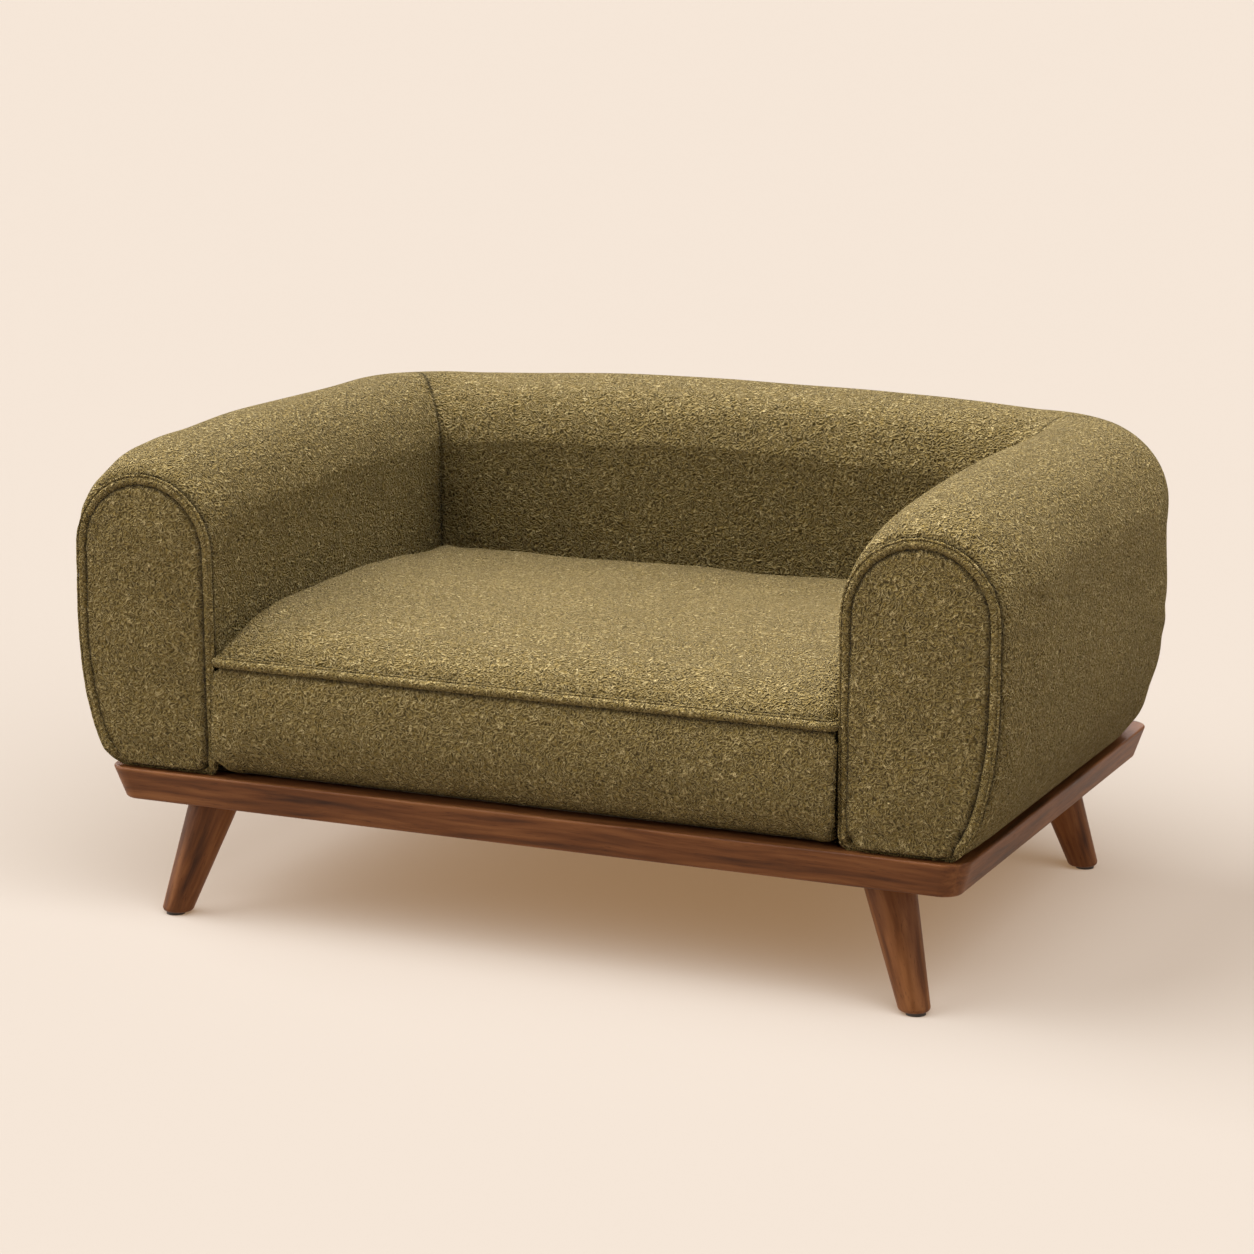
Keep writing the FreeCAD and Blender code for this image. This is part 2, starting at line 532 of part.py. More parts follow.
def add_bolster(parts):
    """Frame, foam, covers, panels and welts of the arms and the back."""
    bolts = [bolster_bolt(x, y, HOLE_CLEARANCE) for x, y in bolt_places()]
    nuts = [tee_nut(x, y, HOLE_CLEARANCE) for x, y in bolt_places()]
    pockets = [nut_pocket(x, y) for x, y in bolt_places()]
    right_hollows = [arm_base(FIT_GAP), arm_upright(FIT_GAP), arm_front_board(FIT_GAP)]
    left_hollows = [mirrored(hollow) for hollow in right_hollows[:2]]
    hollows = right_hollows + [back_base(FIT_GAP), back_upright(FIT_GAP)]

    outer, inner, filling = right_arm_solid(0.0), right_arm_solid(COVER_THICKNESS), right_arm_solid(FOAM_INSET)
    skin = outer.cut(inner)
    prism, welt_room = panel_prism(), arm_welt(HOLE_CLEARANCE)
    reach = PLATFORM_WIDTH
    pad_slab = box((0, -reach, 0), (reach, FRONT_BOARD_Y - FIT_GAP, reach))
    foam_slab = box((0, FRONT_BOARD_Y, 0), (reach, reach, reach))
    arm = {
        "arm_cover": skin.cut([prism, welt_room] + bolts),
        "front_panel": skin.common(prism).cut(welt_room),
        "front_pad": filling.common(pad_slab).cut([welt_room] + hollows),
        "arm_foam": filling.common(foam_slab).cut([welt_room] + hollows + pockets),
        "arm_welt": arm_welt(0.0),
        "arm_base": arm_base(0.0).cut(bolts + nuts),
        "arm_upright": arm_upright(0.0),
        "arm_front_board": arm_front_board(0.0),
    }
    for name, shape in arm.items():
        parts["right_" + name] = shape
        parts["left_" + name] = mirrored(shape)

    parts["back_cover"] = back_solid(0.0).cut([back_solid(COVER_THICKNESS)] + bolts)
    parts["back_foam"] = back_solid(FOAM_INSET).cut(hollows + left_hollows + pockets)
    parts["back_base"] = back_base(0.0).cut(bolts + nuts)
    parts["back_upright"] = back_upright(0.0)
    parts["bolster_bolts"] = Part.makeCompound([bolster_bolt(x, y, 0.0) for x, y in bolt_places()])
    tee_nuts = [tee_nut(x, y, 0.0).cut(bolster_bolt(x, y, HOLE_CLEARANCE)) for x, y in bolt_places()]
    parts["tee_nuts"] = Part.makeCompound(tee_nuts)


# --- Loose cushion ------------------------------------------------------------------------------
def cushion_side(inset):
    """Outline of the cushion from the side, as a prism across its whole width."""
    front, back = FRONT_Y + inset, CUSHION_BACK_Y - inset
    low, seam = CUSHION_UNDERSIDE + inset, CUSHION_SEAM_Z
    crown, shoulder = CUSHION_CROWN_Z - inset, CUSHION_CROWN_Z - BACK_CROWN_DROP - inset
    crown_y = FRONT_Y + CROWN_BEHIND_FRONT
    toe_y, toe_z = FRONT_Y + TOE_REACH, CUSHION_UNDERSIDE + TOE_RISE
    shoulder_y = CUSHION_BACK_Y - SHOULDER_REACH
    half = CUSHION_HALF_WIDTH + 1

    def at(y, z):
        return Vector(-half, y, z)

    wire = Part.Wire([
        line(at(back, low), at(toe_y, low)),
        quarter(at(toe_y, low), at(front, low), at(front, toe_z)),
        line(at(front, toe_z), at(front, seam)),
        quarter(at(front, seam), at(front, crown), at(crown_y, crown)),
        line(at(crown_y, crown), at(shoulder_y, shoulder)),
        quarter(at(shoulder_y, shoulder), at(back, shoulder), at(back, seam)),
        line(at(back, seam), at(back, low)),
    ])
    return Part.Face(wire).extrude(Vector(2 * half, 0, 0))


def cushion_front_view(inset):
    """Outline of the cushion from the front: square sides that curve over to the crown."""
    side, low, seam = CUSHION_HALF_WIDTH - inset, CUSHION_UNDERSIDE - 1, CUSHION_SEAM_Z
    high = CUSHION_CROWN_Z + 1 - inset
    over = CUSHION_HALF_WIDTH - SHOULDER_REACH
    y = FRONT_Y - 1

    def at(x, z):
        return Vector(x, y, z)

    wire = Part.Wire([
        line(at(-side, low), at(side, low)),
        line(at(side, low), at(side, seam)),
        quarter(at(side, seam), at(side, high), at(over, high)),
        line(at(over, high), at(-over, high)),
        quarter(at(-over, high), at(-side, high), at(-side, seam)),
        line(at(-side, seam), at(-side, low)),
    ])
    return Part.Face(wire).extrude(Vector(0, CUSHION_BACK_Y - FRONT_Y + 2, 0))


def cushion_plan(inset, z):
    """Outline of the cushion from above."""
    radii = [r - inset for r in CUSHION_PLAN_CORNERS]
    return rounded_rectangle(-CUSHION_HALF_WIDTH + inset, FRONT_Y + inset, CUSHION_HALF_WIDTH - inset,
                             CUSHION_BACK_Y - inset, z, radii)


def cushion_solid(inset):
    """Crowned box cushion, moved in by the inset."""
    plan = Part.Face(cushion_plan(inset, CUSHION_UNDERSIDE - 1))
    prism = plan.extrude(Vector(0, 0, CUSHION_CROWN_Z - CUSHION_UNDERSIDE + 3))
    return cushion_side(inset).common(cushion_front_view(inset)).common(prism)


def cushion_welt(clearance):
    """Piping round the cushion where its top panel meets the boxing."""
    path = cushion_plan(CUSHION_WELT_RADIUS - CUSHION_WELT_PROUD, CUSHION_SEAM_Z)
    start = path.OrderedEdges[0]
    direction = start.tangentAt(start.FirstParameter)
    centre = start.valueAt(start.FirstParameter)
    ring = Part.Wire(Part.makeCircle(CUSHION_WELT_RADIUS + clearance, centre, direction))
    return path.makePipeShell([ring], True, False)


def zip_window():
    """Slot in the rear boxing that the zip's tape fills."""
    half, tall = ZIP_LENGTH / 2.0, ZIP_TAPE_HEIGHT / 2.0
    return box((-half, CUSHION_BACK_Y - 2 * CUSHION_COVER, ZIP_Z - tall), (half, CUSHION_BACK_Y + 1, ZIP_Z + tall))


def zip_tape():
    """Woven tape in the slot, with its outer face set back from the boxing's."""
    half, tall = ZIP_LENGTH / 2.0, ZIP_TAPE_HEIGHT / 2.0
    outer = CUSHION_BACK_Y - (CUSHION_COVER - ZIP_TAPE_THICKNESS)
    return box((-half, outer - ZIP_TAPE_THICKNESS, ZIP_Z - tall), (half, outer, ZIP_Z + tall))


def zip_chain():
    """The closed coil, a low rounded bead along the middle of the tape."""
    half, wide = ZIP_LENGTH / 2.0, ZIP_CHAIN_WIDTH / 2.0
    base = CUSHION_BACK_Y - (CUSHION_COVER - ZIP_TAPE_THICKNESS)
    top = base + ZIP_CHAIN_HEIGHT

    def at(y, z):
        return Vector(-half, y, z)

    wire = Part.Wire([
        line(at(base, ZIP_Z + wide), at(base, ZIP_Z - wide)),
        quarter(at(base, ZIP_Z - wide), at(top, ZIP_Z - wide), at(top, ZIP_Z)),
        quarter(at(top, ZIP_Z), at(top, ZIP_Z + wide), at(base, ZIP_Z + wide)),
    ])
    return Part.Face(wire).extrude(Vector(2 * half, 0, 0))


def zip_slider():
    """Tabless slider at the zip's closed end: a channel that runs over the coil."""
    base = CUSHION_BACK_Y - (CUSHION_COVER - ZIP_TAPE_THICKNESS) + SLIDER_CLEARANCE
    inside = ZIP_CHAIN_WIDTH / 2.0 + SLIDER_CLEARANCE
    outside = inside + SLIDER_WALL
    roof = base + ZIP_CHAIN_HEIGHT
    start = -ZIP_LENGTH / 2.0 + SLIDER_LENGTH / 2.0
    body = box((start, base, ZIP_Z - outside), (start + SLIDER_LENGTH, roof + SLIDER_WALL, ZIP_Z + outside))
    upright = [e for e in body.Edges if e.BoundBox.YLength > SLIDER_WALL]
    body = body.makeFillet(SLIDER_WALL, upright)
    groove = box((start - 1, base - 1, ZIP_Z - inside), (start + SLIDER_LENGTH + 1, roof, ZIP_Z + inside))
    return body.cut(groove)


def add_cushion(parts):
    """Foam, cover, welt and zip of the loose cushion."""
    skin = cushion_solid(0.0).cut(cushion_solid(CUSHION_COVER))
    welt_room = cushion_welt(HOLE_CLEARANCE)
    reach = PLATFORM_WIDTH
    hem_z = CUSHION_UNDERSIDE + CUSHION_HEM
    above = box((-reach, -reach, CUSHION_SEAM_Z), (reach, reach, reach))
    below = box((-reach, -reach, 0), (reach, reach, hem_z))
    between = box((-reach, -reach, hem_z), (reach, reach, CUSHION_SEAM_Z))
    parts["cushion_top_panel"] = skin.common(above).cut(welt_room)
    parts["cushion_bottom_panel"] = skin.common(below)
    parts["cushion_boxing"] = skin.common(between).cut([welt_room, zip_window()])
    parts["cushion_welt"] = cushion_welt(0.0)
    parts["cushion_foam"] = cushion_solid(CUSHION_COVER + FIT_GAP).cut([welt_room, zip_window()])
    parts["zip_tape"] = zip_tape()
    parts["zip_chain"] = zip_chain()
    parts["zip_slider"] = zip_slider()


def add_platform(parts):
    """Rails, deck, brace, blocks and their fixings."""
    ring = rail_ring()
    slots = [mitre_spline(sx, sy, HOLE_CLEARANCE) for _, sx, sy in corner_signs()]
    screws = [deck_screw(x, y, HOLE_CLEARANCE) for x, y in deck_screw_places()]
    bolts = [bolster_bolt(x, y, HOLE_CLEARANCE) for x, y in bolt_places()]
    for side in ("front", "back", "left", "right"):
        parts[side + "_rail"] = ring.common(mitre_prism(side)).cut(slots + screws)
    parts["mitre_splines"] = Part.makeCompound([mitre_spline(sx, sy, 0.0) for _, sx, sy in corner_signs()])
    deck = platform_box(RAIL_WIDTH - DECK_LAP + FIT_GAP, DECK_UNDERSIDE, DECK_TOP)
    parts["deck_panel"] = deck.cut(screws + bolts)
    parts["deck_screws"] = Part.makeCompound([deck_screw(x, y, 0.0) for x, y in deck_screw_places()])
    half_length = HALF_DEPTH - RAIL_WIDTH
    parts["centre_brace"] = box((-BRACE_WIDTH / 2.0, PLATFORM_Y - half_length, FLOOR_TO_RAILS),
                                (BRACE_WIDTH / 2.0, PLATFORM_Y + half_length, DECK_UNDERSIDE))


def add_legs(parts):
    """Corner blocks, legs, glides and what holds them."""
    for name, sx, sy in corner_signs():
        socket = rod_on_leg(sx, sy, INSERT_RADIUS + HOLE_CLEARANCE, INSERT_LENGTH, INSERT_LENGTH)
        parts[name + "_corner_block"] = corner_block(sx, sy).cut(socket)
        parts[name + "_leg"] = leg(sx, sy)
        parts[name + "_glide"] = glide(sx, sy, 0.0)
    signs = [(sx, sy) for _, sx, sy in corner_signs()]
    bolts = [rod_on_leg(sx, sy, LEG_BOLT_RADIUS, LEG_BOLT_IN_LEG, LEG_BOLT_IN_BLOCK) for sx, sy in signs]
    parts["leg_bolts"] = Part.makeCompound(bolts)
    parts["insert_nuts"] = Part.makeCompound([insert_nut(sx, sy) for sx, sy in signs])


def main():
    parts = {}
    add_platform(parts)
    add_legs(parts)
    add_bolster(parts)
    add_cushion(parts)
    os.makedirs("parts", exist_ok=True)
    for name, shape in parts.items():
        if shape.isNull() or not shape.isValid():
            print("not valid:", name)
        bounds = shape.BoundBox
        print("%-24s solids %2d volume %12.1f z %7.1f..%7.1f" %
              (name, len(shape.Solids), shape.Volume, bounds.ZMin, bounds.ZMax))
        shape.exportStep("parts/" + name + ".step")


main()
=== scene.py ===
"""Looks of an upholstered dog bed: boucle arms, back and cushion on a walnut platform, in a pale studio."""

import logging
import math
from dataclasses import dataclass
from enum import Enum

import bpy
import numpy as np
from mathutils import Euler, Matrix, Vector
from mathutils.kdtree import KDTree


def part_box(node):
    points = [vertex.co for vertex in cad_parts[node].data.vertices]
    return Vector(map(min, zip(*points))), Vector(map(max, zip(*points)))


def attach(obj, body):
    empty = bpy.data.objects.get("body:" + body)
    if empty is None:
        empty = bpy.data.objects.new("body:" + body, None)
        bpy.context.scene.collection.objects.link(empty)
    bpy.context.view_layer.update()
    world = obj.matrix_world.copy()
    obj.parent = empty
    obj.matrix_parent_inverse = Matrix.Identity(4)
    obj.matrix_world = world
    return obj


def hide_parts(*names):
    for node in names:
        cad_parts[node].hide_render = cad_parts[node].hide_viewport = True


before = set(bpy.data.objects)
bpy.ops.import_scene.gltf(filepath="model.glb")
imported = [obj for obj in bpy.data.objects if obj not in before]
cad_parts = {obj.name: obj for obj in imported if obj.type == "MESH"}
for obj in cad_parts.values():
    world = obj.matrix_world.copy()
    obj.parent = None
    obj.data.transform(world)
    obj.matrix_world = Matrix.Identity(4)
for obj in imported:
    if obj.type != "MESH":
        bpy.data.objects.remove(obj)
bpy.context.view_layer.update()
LOG = logging.getLogger("dog_bed")
Colour = tuple[float, float, float]
Triple = tuple[float, float, float]


# --- Shader maths ---------------------------------------------------------------------
class Signal:
    """A shader socket that plain Python expressions can use."""

    def __init__(self, graph: "Graph", socket: bpy.types.NodeSocket) -> None:
        """Wraps one output socket of a graph."""
        self.graph = graph
        self.socket = socket

    def __add__(self, other: "Signal | float") -> "Signal":
        """Sum."""
        return self.graph.math("ADD", self, other)

    def __sub__(self, other: "Signal | float") -> "Signal":
        """Difference."""
        return self.graph.math("SUBTRACT", self, other)

    def __rsub__(self, other: float) -> "Signal":
        """Difference from a number."""
        return self.graph.math("SUBTRACT", other, self)

    def __mul__(self, other: "Signal | float") -> "Signal":
        """Product."""
        return self.graph.math("MULTIPLY", self, other)

    __radd__ = __add__
    __rmul__ = __mul__

    def max(self, other: "Signal | float") -> "Signal":
        """The larger of two values."""
        return self.graph.math("MAXIMUM", self, other)

    def step(self, low: float, high: float) -> "Signal":
        """Smooth step from 0 at the low value to 1 at the high one."""
        node = self.graph.node("ShaderNodeMapRange", {"interpolation_type": "SMOOTHSTEP"},
                               {"Value": self, "From Min": low, "From Max": high})
        return Signal(self.graph, node.outputs["Result"])

    def sine(self) -> "Signal":
        """Sine of the value in radians."""
        return self.graph.math("SINE", self)


class Graph:
    """Node tree of one material, with its Principled shader."""

    def __init__(self, name: str, roughness: float, **constants: float | tuple) -> None:
        """Starts a material.

        Args:
            name: the material's name.
            roughness: the shader's roughness, unless a signal is linked later.
            constants: other values for the shader's own sockets, with _ for a space.
        """
        self.material = bpy.data.materials.new(name)
        self.material.use_nodes = True
        self.tree = self.material.node_tree
        self.shader = next(n for n in self.tree.nodes if n.type == "BSDF_PRINCIPLED")
        self.shader.inputs["Roughness"].default_value = roughness
        for key, value in constants.items():
            self.shader.inputs[key.replace("_", " ")].default_value = value
        coordinates = self.node("ShaderNodeTexCoord")
        self.place = Signal(self, coordinates.outputs["Object"])

    def node(self, kind: str, settings: dict | None = None, inputs: dict | None = None) -> bpy.types.Node:
        """Adds one node.

        Args:
            kind: the node's type.
            settings: its properties, set before its sockets; a ramp's stops go under "stops".
            inputs: values or signals of its sockets by name or number.

        Returns:
            The new node.
        """
        node = self.tree.nodes.new(kind)
        for key, value in (settings or {}).items():
            if key == "stops":
                self._set_stops(node.color_ramp, value)
            else:
                setattr(node, key, value)
        for key, value in (inputs or {}).items():
            if isinstance(value, Signal):
                self.tree.links.new(value.socket, node.inputs[key])
            elif value is not None:
                node.inputs[key].default_value = value
        return node

    @staticmethod
    def _set_stops(ramp: bpy.types.ColorRamp, stops: list[tuple[float, Colour]]) -> None:
        """Gives a colour ramp its stops.

        Args:
            ramp: the ramp to fill.
            stops: place and colour of each stop, in order.
        """
        while len(ramp.elements) < len(stops):
            ramp.elements.new(1.0)
        for element, (place, colour) in zip(ramp.elements, stops):
            element.position = place
            element.color = (*colour, 1.0)

    def math(self, operation: str, a: "Signal | float", b: "Signal | float | None" = None) -> Signal:
        """Adds one Math node and returns its output."""
        node = self.node("ShaderNodeMath", {"operation": operation}, {0: a, 1: b})
        return Signal(self, node.outputs[0])

    def vector(self, operation: str, a: "Signal | tuple", b: "Signal | tuple | None" = None,
               scale: "Signal | float | None" = None) -> Signal:
        """Adds one Vector Math node.

        Args:
            operation: what the node works out.
            a: first vector or colour.
            b: second vector or colour, if the operation takes one.
            scale: factor of a SCALE operation, in place of a second vector.

        Returns:
            The node's vector.
        """
        inputs = {0: a, 1: b} if scale is None else {0: a, "Scale": scale}
        node = self.node("ShaderNodeVectorMath", {"operation": operation}, inputs)
        return Signal(self, node.outputs[0])

    def noise(self, place: Signal, scale: float, detail: float = 1.0, roughness: float = 0.5) -> Signal:
        """Noise value at a place; scale counts features per metre."""
        node = self.node("ShaderNodeTexNoise", None, {"Vector": place, "Scale": scale, "Detail": detail,
                                                      "Roughness": roughness})
        return Signal(self, node.outputs["Fac"])

    def noise_vector(self, place: Signal, scale: float, detail: float = 1.0) -> Signal:
        """Noise vector round zero at a place."""
        node = self.node("ShaderNodeTexNoise", None, {"Vector": place, "Scale": scale, "Detail": detail})
        return self.vector("SUBTRACT", Signal(self, node.outputs["Color"]), (0.5, 0.5, 0.5))

    def nubs(self, place: Signal, scale: float) -> Signal:
        """Rounded cells, high in their middles."""
        node = self.node("ShaderNodeTexVoronoi", {"feature": "SMOOTH_F1"},
                         {"Vector": place, "Scale": scale, "Smoothness": 0.4})
        return 1.0 - Signal(self, node.outputs["Distance"])

    def turned(self, place: Signal, angles: Triple) -> Signal:
        """A place turned by Euler angles."""
        turn = self.node("ShaderNodeMapping", {"vector_type": "POINT"}, {"Vector": place, "Rotation": angles})
        return Signal(self, turn.outputs[0])

    def blend(self, share: Signal, low: "Signal | Colour", high: "Signal | Colour") -> Signal:
        """Mixes two colours.

        Args:
            share: how much of the second colour shows, from 0 to 1.
            low: colour where the share is 0.
            high: colour where it is 1.

        Returns:
            The mixed colour.
        """
        colours = [c if isinstance(c, Signal) else (*c, 1.0) for c in (low, high)]
        node = self.node("ShaderNodeMix", {"data_type": "RGBA"}, {0: share, 6: colours[0], 7: colours[1]})
        return Signal(self, node.outputs[2])

    def ramp(self, value: Signal, stops: list[tuple[float, Colour]]) -> Signal:
        """Colour of a value on a ramp."""
        node = self.node("ShaderNodeValToRGB", {"stops": stops}, {"Fac": value})
        return Signal(self, node.outputs["Color"])

    def finish(self, colour: Signal, height: Signal | None = None, relief: float = 0.0,
               roughness: Signal | None = None) -> bpy.types.Material:
        """Links the pattern to the shader.

        Args:
            colour: base colour.
            height: bump height from 0 to 1.
            relief: depth of the bump, in metres.
            roughness: roughness that varies over the surface.

        Returns:
            The finished material.
        """
        self.tree.links.new(colour.socket, self.shader.inputs["Base Color"])
        if roughness is not None:
            self.tree.links.new(roughness.socket, self.shader.inputs["Roughness"])
        if height is not None:
            bump = self.node("ShaderNodeBump", None, {"Height": height, "Distance": relief})
            self.tree.links.new(bump.outputs["Normal"], self.shader.inputs["Normal"])
        return self.material


# --- Finishes ------------------------------------------------------------------------------
@dataclass(frozen=True)
class Boucle:
    """Looped wool cloth: short curled strokes of yarn, with painted shade in the hollows between them and
    painted highlights on the highest loops.
    """

    name: str
    pitch: float = 0.0025
    relief: float = 0.0340
    # colour of the hollows between loops: painted shade
    deep: Colour = (0.088, 0.059, 0.014)
    yarn: Colour = (0.275, 0.190, 0.054)
    # colour of the highest loop tops: painted highlight
    tip: Colour = (0.640, 0.496, 0.235)
    sheen: float = 0.06
    stroke_turns: float = 46.0
    # how dark the painted shade in the seam creases is
    crease_shade: float = 0.62

    def strokes(self, graph: Graph, place: Signal, shift: float) -> Signal:
        """Short strokes that run side by side and turn with the level lines of a noise.

        Args:
            graph: the material's graph.
            place: where on the cloth.
            shift: moves the pattern, so that two layers of strokes differ.

        Returns:
            Height of the strokes, from 0 to 1.
        """
        moved = graph.vector("ADD", place, (shift, 1.7 * shift, 0.6 * shift))
        level = graph.noise(moved, 0.26 / self.pitch, 1.3, 0.45)
        jitter = graph.noise(moved, 0.9 / self.pitch, 1.0)
        wave = (level * self.stroke_turns + jitter * 3.0).sine()
        breaks = graph.noise(moved, 0.70 / self.pitch, 0.0).step(0.28, 0.55)
        return wave * (breaks * 0.35 + 0.15) + 0.5

    def build(self) -> bpy.types.Material:
        """Makes the material.

        Returns:
            The finished material.
        """
        graph = Graph(self.name, 0.95, Specular_IOR_Level=0.06, Sheen_Weight=self.sheen,
                      Sheen_Roughness=0.5, Sheen_Tint=(1.0, 0.88, 0.70, 1.0))
        scale = 1.0 / self.pitch
        curls = self.strokes(graph, graph.place, 0.0).max(self.strokes(graph, graph.place, 3.1) * 0.92)
        fibres = graph.noise(graph.place, scale * 2.4, 1.0, 0.6)
        height = curls * 0.72 + graph.nubs(graph.place, scale * 0.62) * 0.18 + fibres * 0.14
        patches = graph.noise(graph.place, scale * 0.06, 2.0)
        # painted shade: the cloth is darkened in the creases beside the piping and along the mitre seams
        crease = Signal(graph, graph.node("ShaderNodeAttribute", {"attribute_name": "crease"}).outputs["Fac"])
        tone = patches * 0.18 + graph.noise(graph.place, 6.0, 2.0) * 0.12 + 0.85
        tone = tone * (1.0 - crease * self.crease_shade)
        # painted shade: the yarn darkens where the height is low, in the hollows between loops
        shaded_yarn = graph.blend(height.step(0.16, 0.60), self.deep, self.yarn)
        # painted highlight: the highest loops turn pale, more strongly inside these patches
        highlight_patches = graph.noise(graph.place, scale * 0.36, 0.0).step(0.50, 0.74)
        colour = graph.blend(height.step(0.58, 0.96) * (highlight_patches * 0.50 + 0.50), shaded_yarn, self.tip)
        return graph.finish(graph.vector("SCALE", colour, scale=tone), height, self.relief)


@dataclass(frozen=True)
class Walnut:
    """Oiled walnut with dark wandering streaks along the grain."""

    name: str
    angles: Triple = (0.0, 0.0, 0.0)
    offset: float = 0.0
    dark: Colour = (0.020, 0.006, 0.002)
    heart: Colour = (0.120, 0.039, 0.010)
    pale: Colour = (0.240, 0.094, 0.030)

    def build(self) -> bpy.types.Material:
        """Makes the material, with the grain along the turned X axis.

        Returns:
            The finished material.
        """
        graph = Graph(self.name, 0.42, Specular_IOR_Level=0.17)
        turned = graph.turned(graph.place, self.angles)
        place = graph.vector("ADD", turned, (self.offset, 0.37 * self.offset, 0.0))
        sway = graph.noise_vector(graph.vector("MULTIPLY", place, (5.0, 14.0, 14.0)), 1.0, 2.0)
        place = graph.vector("ADD", place, graph.vector("MULTIPLY", sway, (0.02, 0.016, 0.016)))
        streaks = graph.noise(graph.vector("MULTIPLY", place, (7.0, 110.0, 110.0)), 1.0, 3.0, 0.55)
        bands = graph.noise(graph.vector("MULTIPLY", place, (2.5, 34.0, 34.0)), 1.0, 2.0)
        pores = graph.noise(graph.vector("MULTIPLY", place, (55.0, 900.0, 900.0)), 1.0, 2.0, 0.6)
        tone = streaks * 0.62 + bands * 0.38
        colour = graph.ramp(tone, [(0.30, self.dark), (0.47, self.heart), (0.68, self.pale)])
        pored = graph.blend(pores.step(0.60, 0.74) * 0.55, colour, self.dark)
        rough = 0.34 + pores * 0.16 + tone * 0.10
        return graph.finish(pored, pores * 0.5 + tone * 0.5, 0.00022, rough)


@dataclass(frozen=True)
class PlainWood:
    """Pale sheet or sawn wood with fine straight grain."""

    name: str
    along: Triple = (5.0, 160.0, 160.0)
    dark: Colour = (0.40, 0.27, 0.15)
    pale: Colour = (0.66, 0.50, 0.32)

    def build(self) -> bpy.types.Material:
        """Makes the material.

        Returns:
            The finished material.
        """
        graph = Graph(self.name, 0.6, Specular_IOR_Level=0.3)
        place = graph.vector("MULTIPLY", graph.place, self.along)
        grain = graph.noise(place, 1.0, 4.0, 0.6)
        broad = graph.noise(graph.vector("SCALE", place, scale=0.18), 1.0, 2.0)
        colour = graph.ramp(grain * 0.6 + broad * 0.4, [(0.3, self.dark), (0.65, self.pale)])
        return graph.finish(colour, grain, 0.0002, grain * 0.2 + 0.5)


@dataclass(frozen=True)
class WovenCloth:
    """Plain weave of two crossing yarns, for lining and zip tape."""

    name: str
    pitch: float = 0.0011
    dark: Colour = (0.020, 0.016, 0.008)
    yarn: Colour = (0.070, 0.056, 0.030)

    def build(self) -> bpy.types.Material:
        """Makes the material.

        Returns:
            The finished material.
        """
        graph = Graph(self.name, 0.85, Specular_IOR_Level=0.2, Sheen_Weight=0.2)
        split = graph.node("ShaderNodeSeparateXYZ", None, {0: graph.place})
        x, y, z = (Signal(graph, split.outputs[i]) * (2.0 * math.pi / self.pitch) for i in range(3))
        weave = x.sine() * (y + z).sine() * 0.5 + 0.5
        uneven = graph.noise(graph.place, 300.0, 2.0)
        height = weave * 0.7 + uneven * 0.3
        return graph.finish(graph.blend(height.step(0.25, 0.8), self.dark, self.yarn), height, 0.0003)


@dataclass(frozen=True)
class Metal:
    """Zinc plated or painted steel with faint scuffs."""

    name: str
    base: Colour = (0.55, 0.55, 0.54)
    metallic: float = 1.0

    def build(self) -> bpy.types.Material:
        """Makes the material.

        Returns:
            The finished material.
        """
        graph = Graph(self.name, 0.35, Metallic=self.metallic)
        scuffs = graph.noise(graph.place, 420.0, 4.0, 0.65)
        dim = tuple(c * 0.6 for c in self.base)
        colour = graph.blend(scuffs.step(0.35, 0.7), dim, self.base)
        return graph.finish(colour, scuffs, 0.00008, scuffs * 0.3 + 0.22)


@dataclass(frozen=True)
class Plastic:
    """Moulded plastic with a fine spark texture."""

    name: str
    base: Colour = (0.030, 0.022, 0.017)
    roughness: float = 0.5

    def build(self) -> bpy.types.Material:
        """Makes the material.

        Returns:
            The finished material.
        """
        graph = Graph(self.name, self.roughness, Specular_IOR_Level=0.4)
        spark = graph.noise(graph.place, 1600.0, 3.0, 0.6)
        dust = graph.noise(graph.place, 90.0, 3.0)
        worn = tuple(min(1.0, c * 1.9 + 0.01) for c in self.base)
        return graph.finish(graph.blend(dust.step(0.4, 0.75), self.base, worn), spark, 0.00006,
                            dust * 0.25 + (self.roughness - 0.12))


@dataclass(frozen=True)
class Paper:
    """Seamless pale studio paper."""

    name: str = "studio_paper"
    base: Colour = (0.268, 0.257, 0.242)
    glow: Colour = (0.245, 0.149, 0.077)

    def build(self) -> bpy.types.Material:
        """Makes the material; light from under the paper shows as a faint warm glow.

        Returns:
            The finished material.
        """
        graph = Graph(self.name, 0.95, Specular_IOR_Level=0.0, Emission_Color=(*self.glow, 1.0),
                      Emission_Strength=1.0)
        tooth = graph.noise(graph.place, 2.0, 2.0)
        lighter = tuple(c * 1.006 for c in self.base)
        return graph.finish(graph.blend(tooth, self.base, lighter))


# --- Mesh helpers ------------------------------------------------------------------------------
def select_only(*objects: bpy.types.Object) -> None:
    """Deselects everything, then selects these objects and makes the first active.

    Args:
        objects: what to select.
    """
    bpy.ops.object.select_all(action="DESELECT")
    for each in objects:
        each.select_set(True)
    bpy.context.view_layer.objects.active = objects[0]


def points_of(piece: bpy.types.Object) -> np.ndarray:
    """Vertex places of a mesh, one row each.

    Args:
        piece: the mesh to read.

    Returns:
        The places.
    """
    flat = np.empty(len(piece.data.vertices) * 3)
    piece.data.vertices.foreach_get("co", flat)
    return flat.reshape(-1, 3)


def set_points(piece: bpy.types.Object, places: np.ndarray) -> None:
    """Moves every vertex of a mesh."""
    piece.data.vertices.foreach_set("co", places.ravel())
    piece.data.update()


def normals_of(piece: bpy.types.Object) -> np.ndarray:
    """Vertex normals of a mesh, one row each.

    Args:
        piece: the mesh to read.

    Returns:
        The unit normals.
    """
    flat = np.empty(len(piece.data.vertices) * 3)
    piece.data.vertex_normals.foreach_get("vector", flat)
    return flat.reshape(-1, 3)


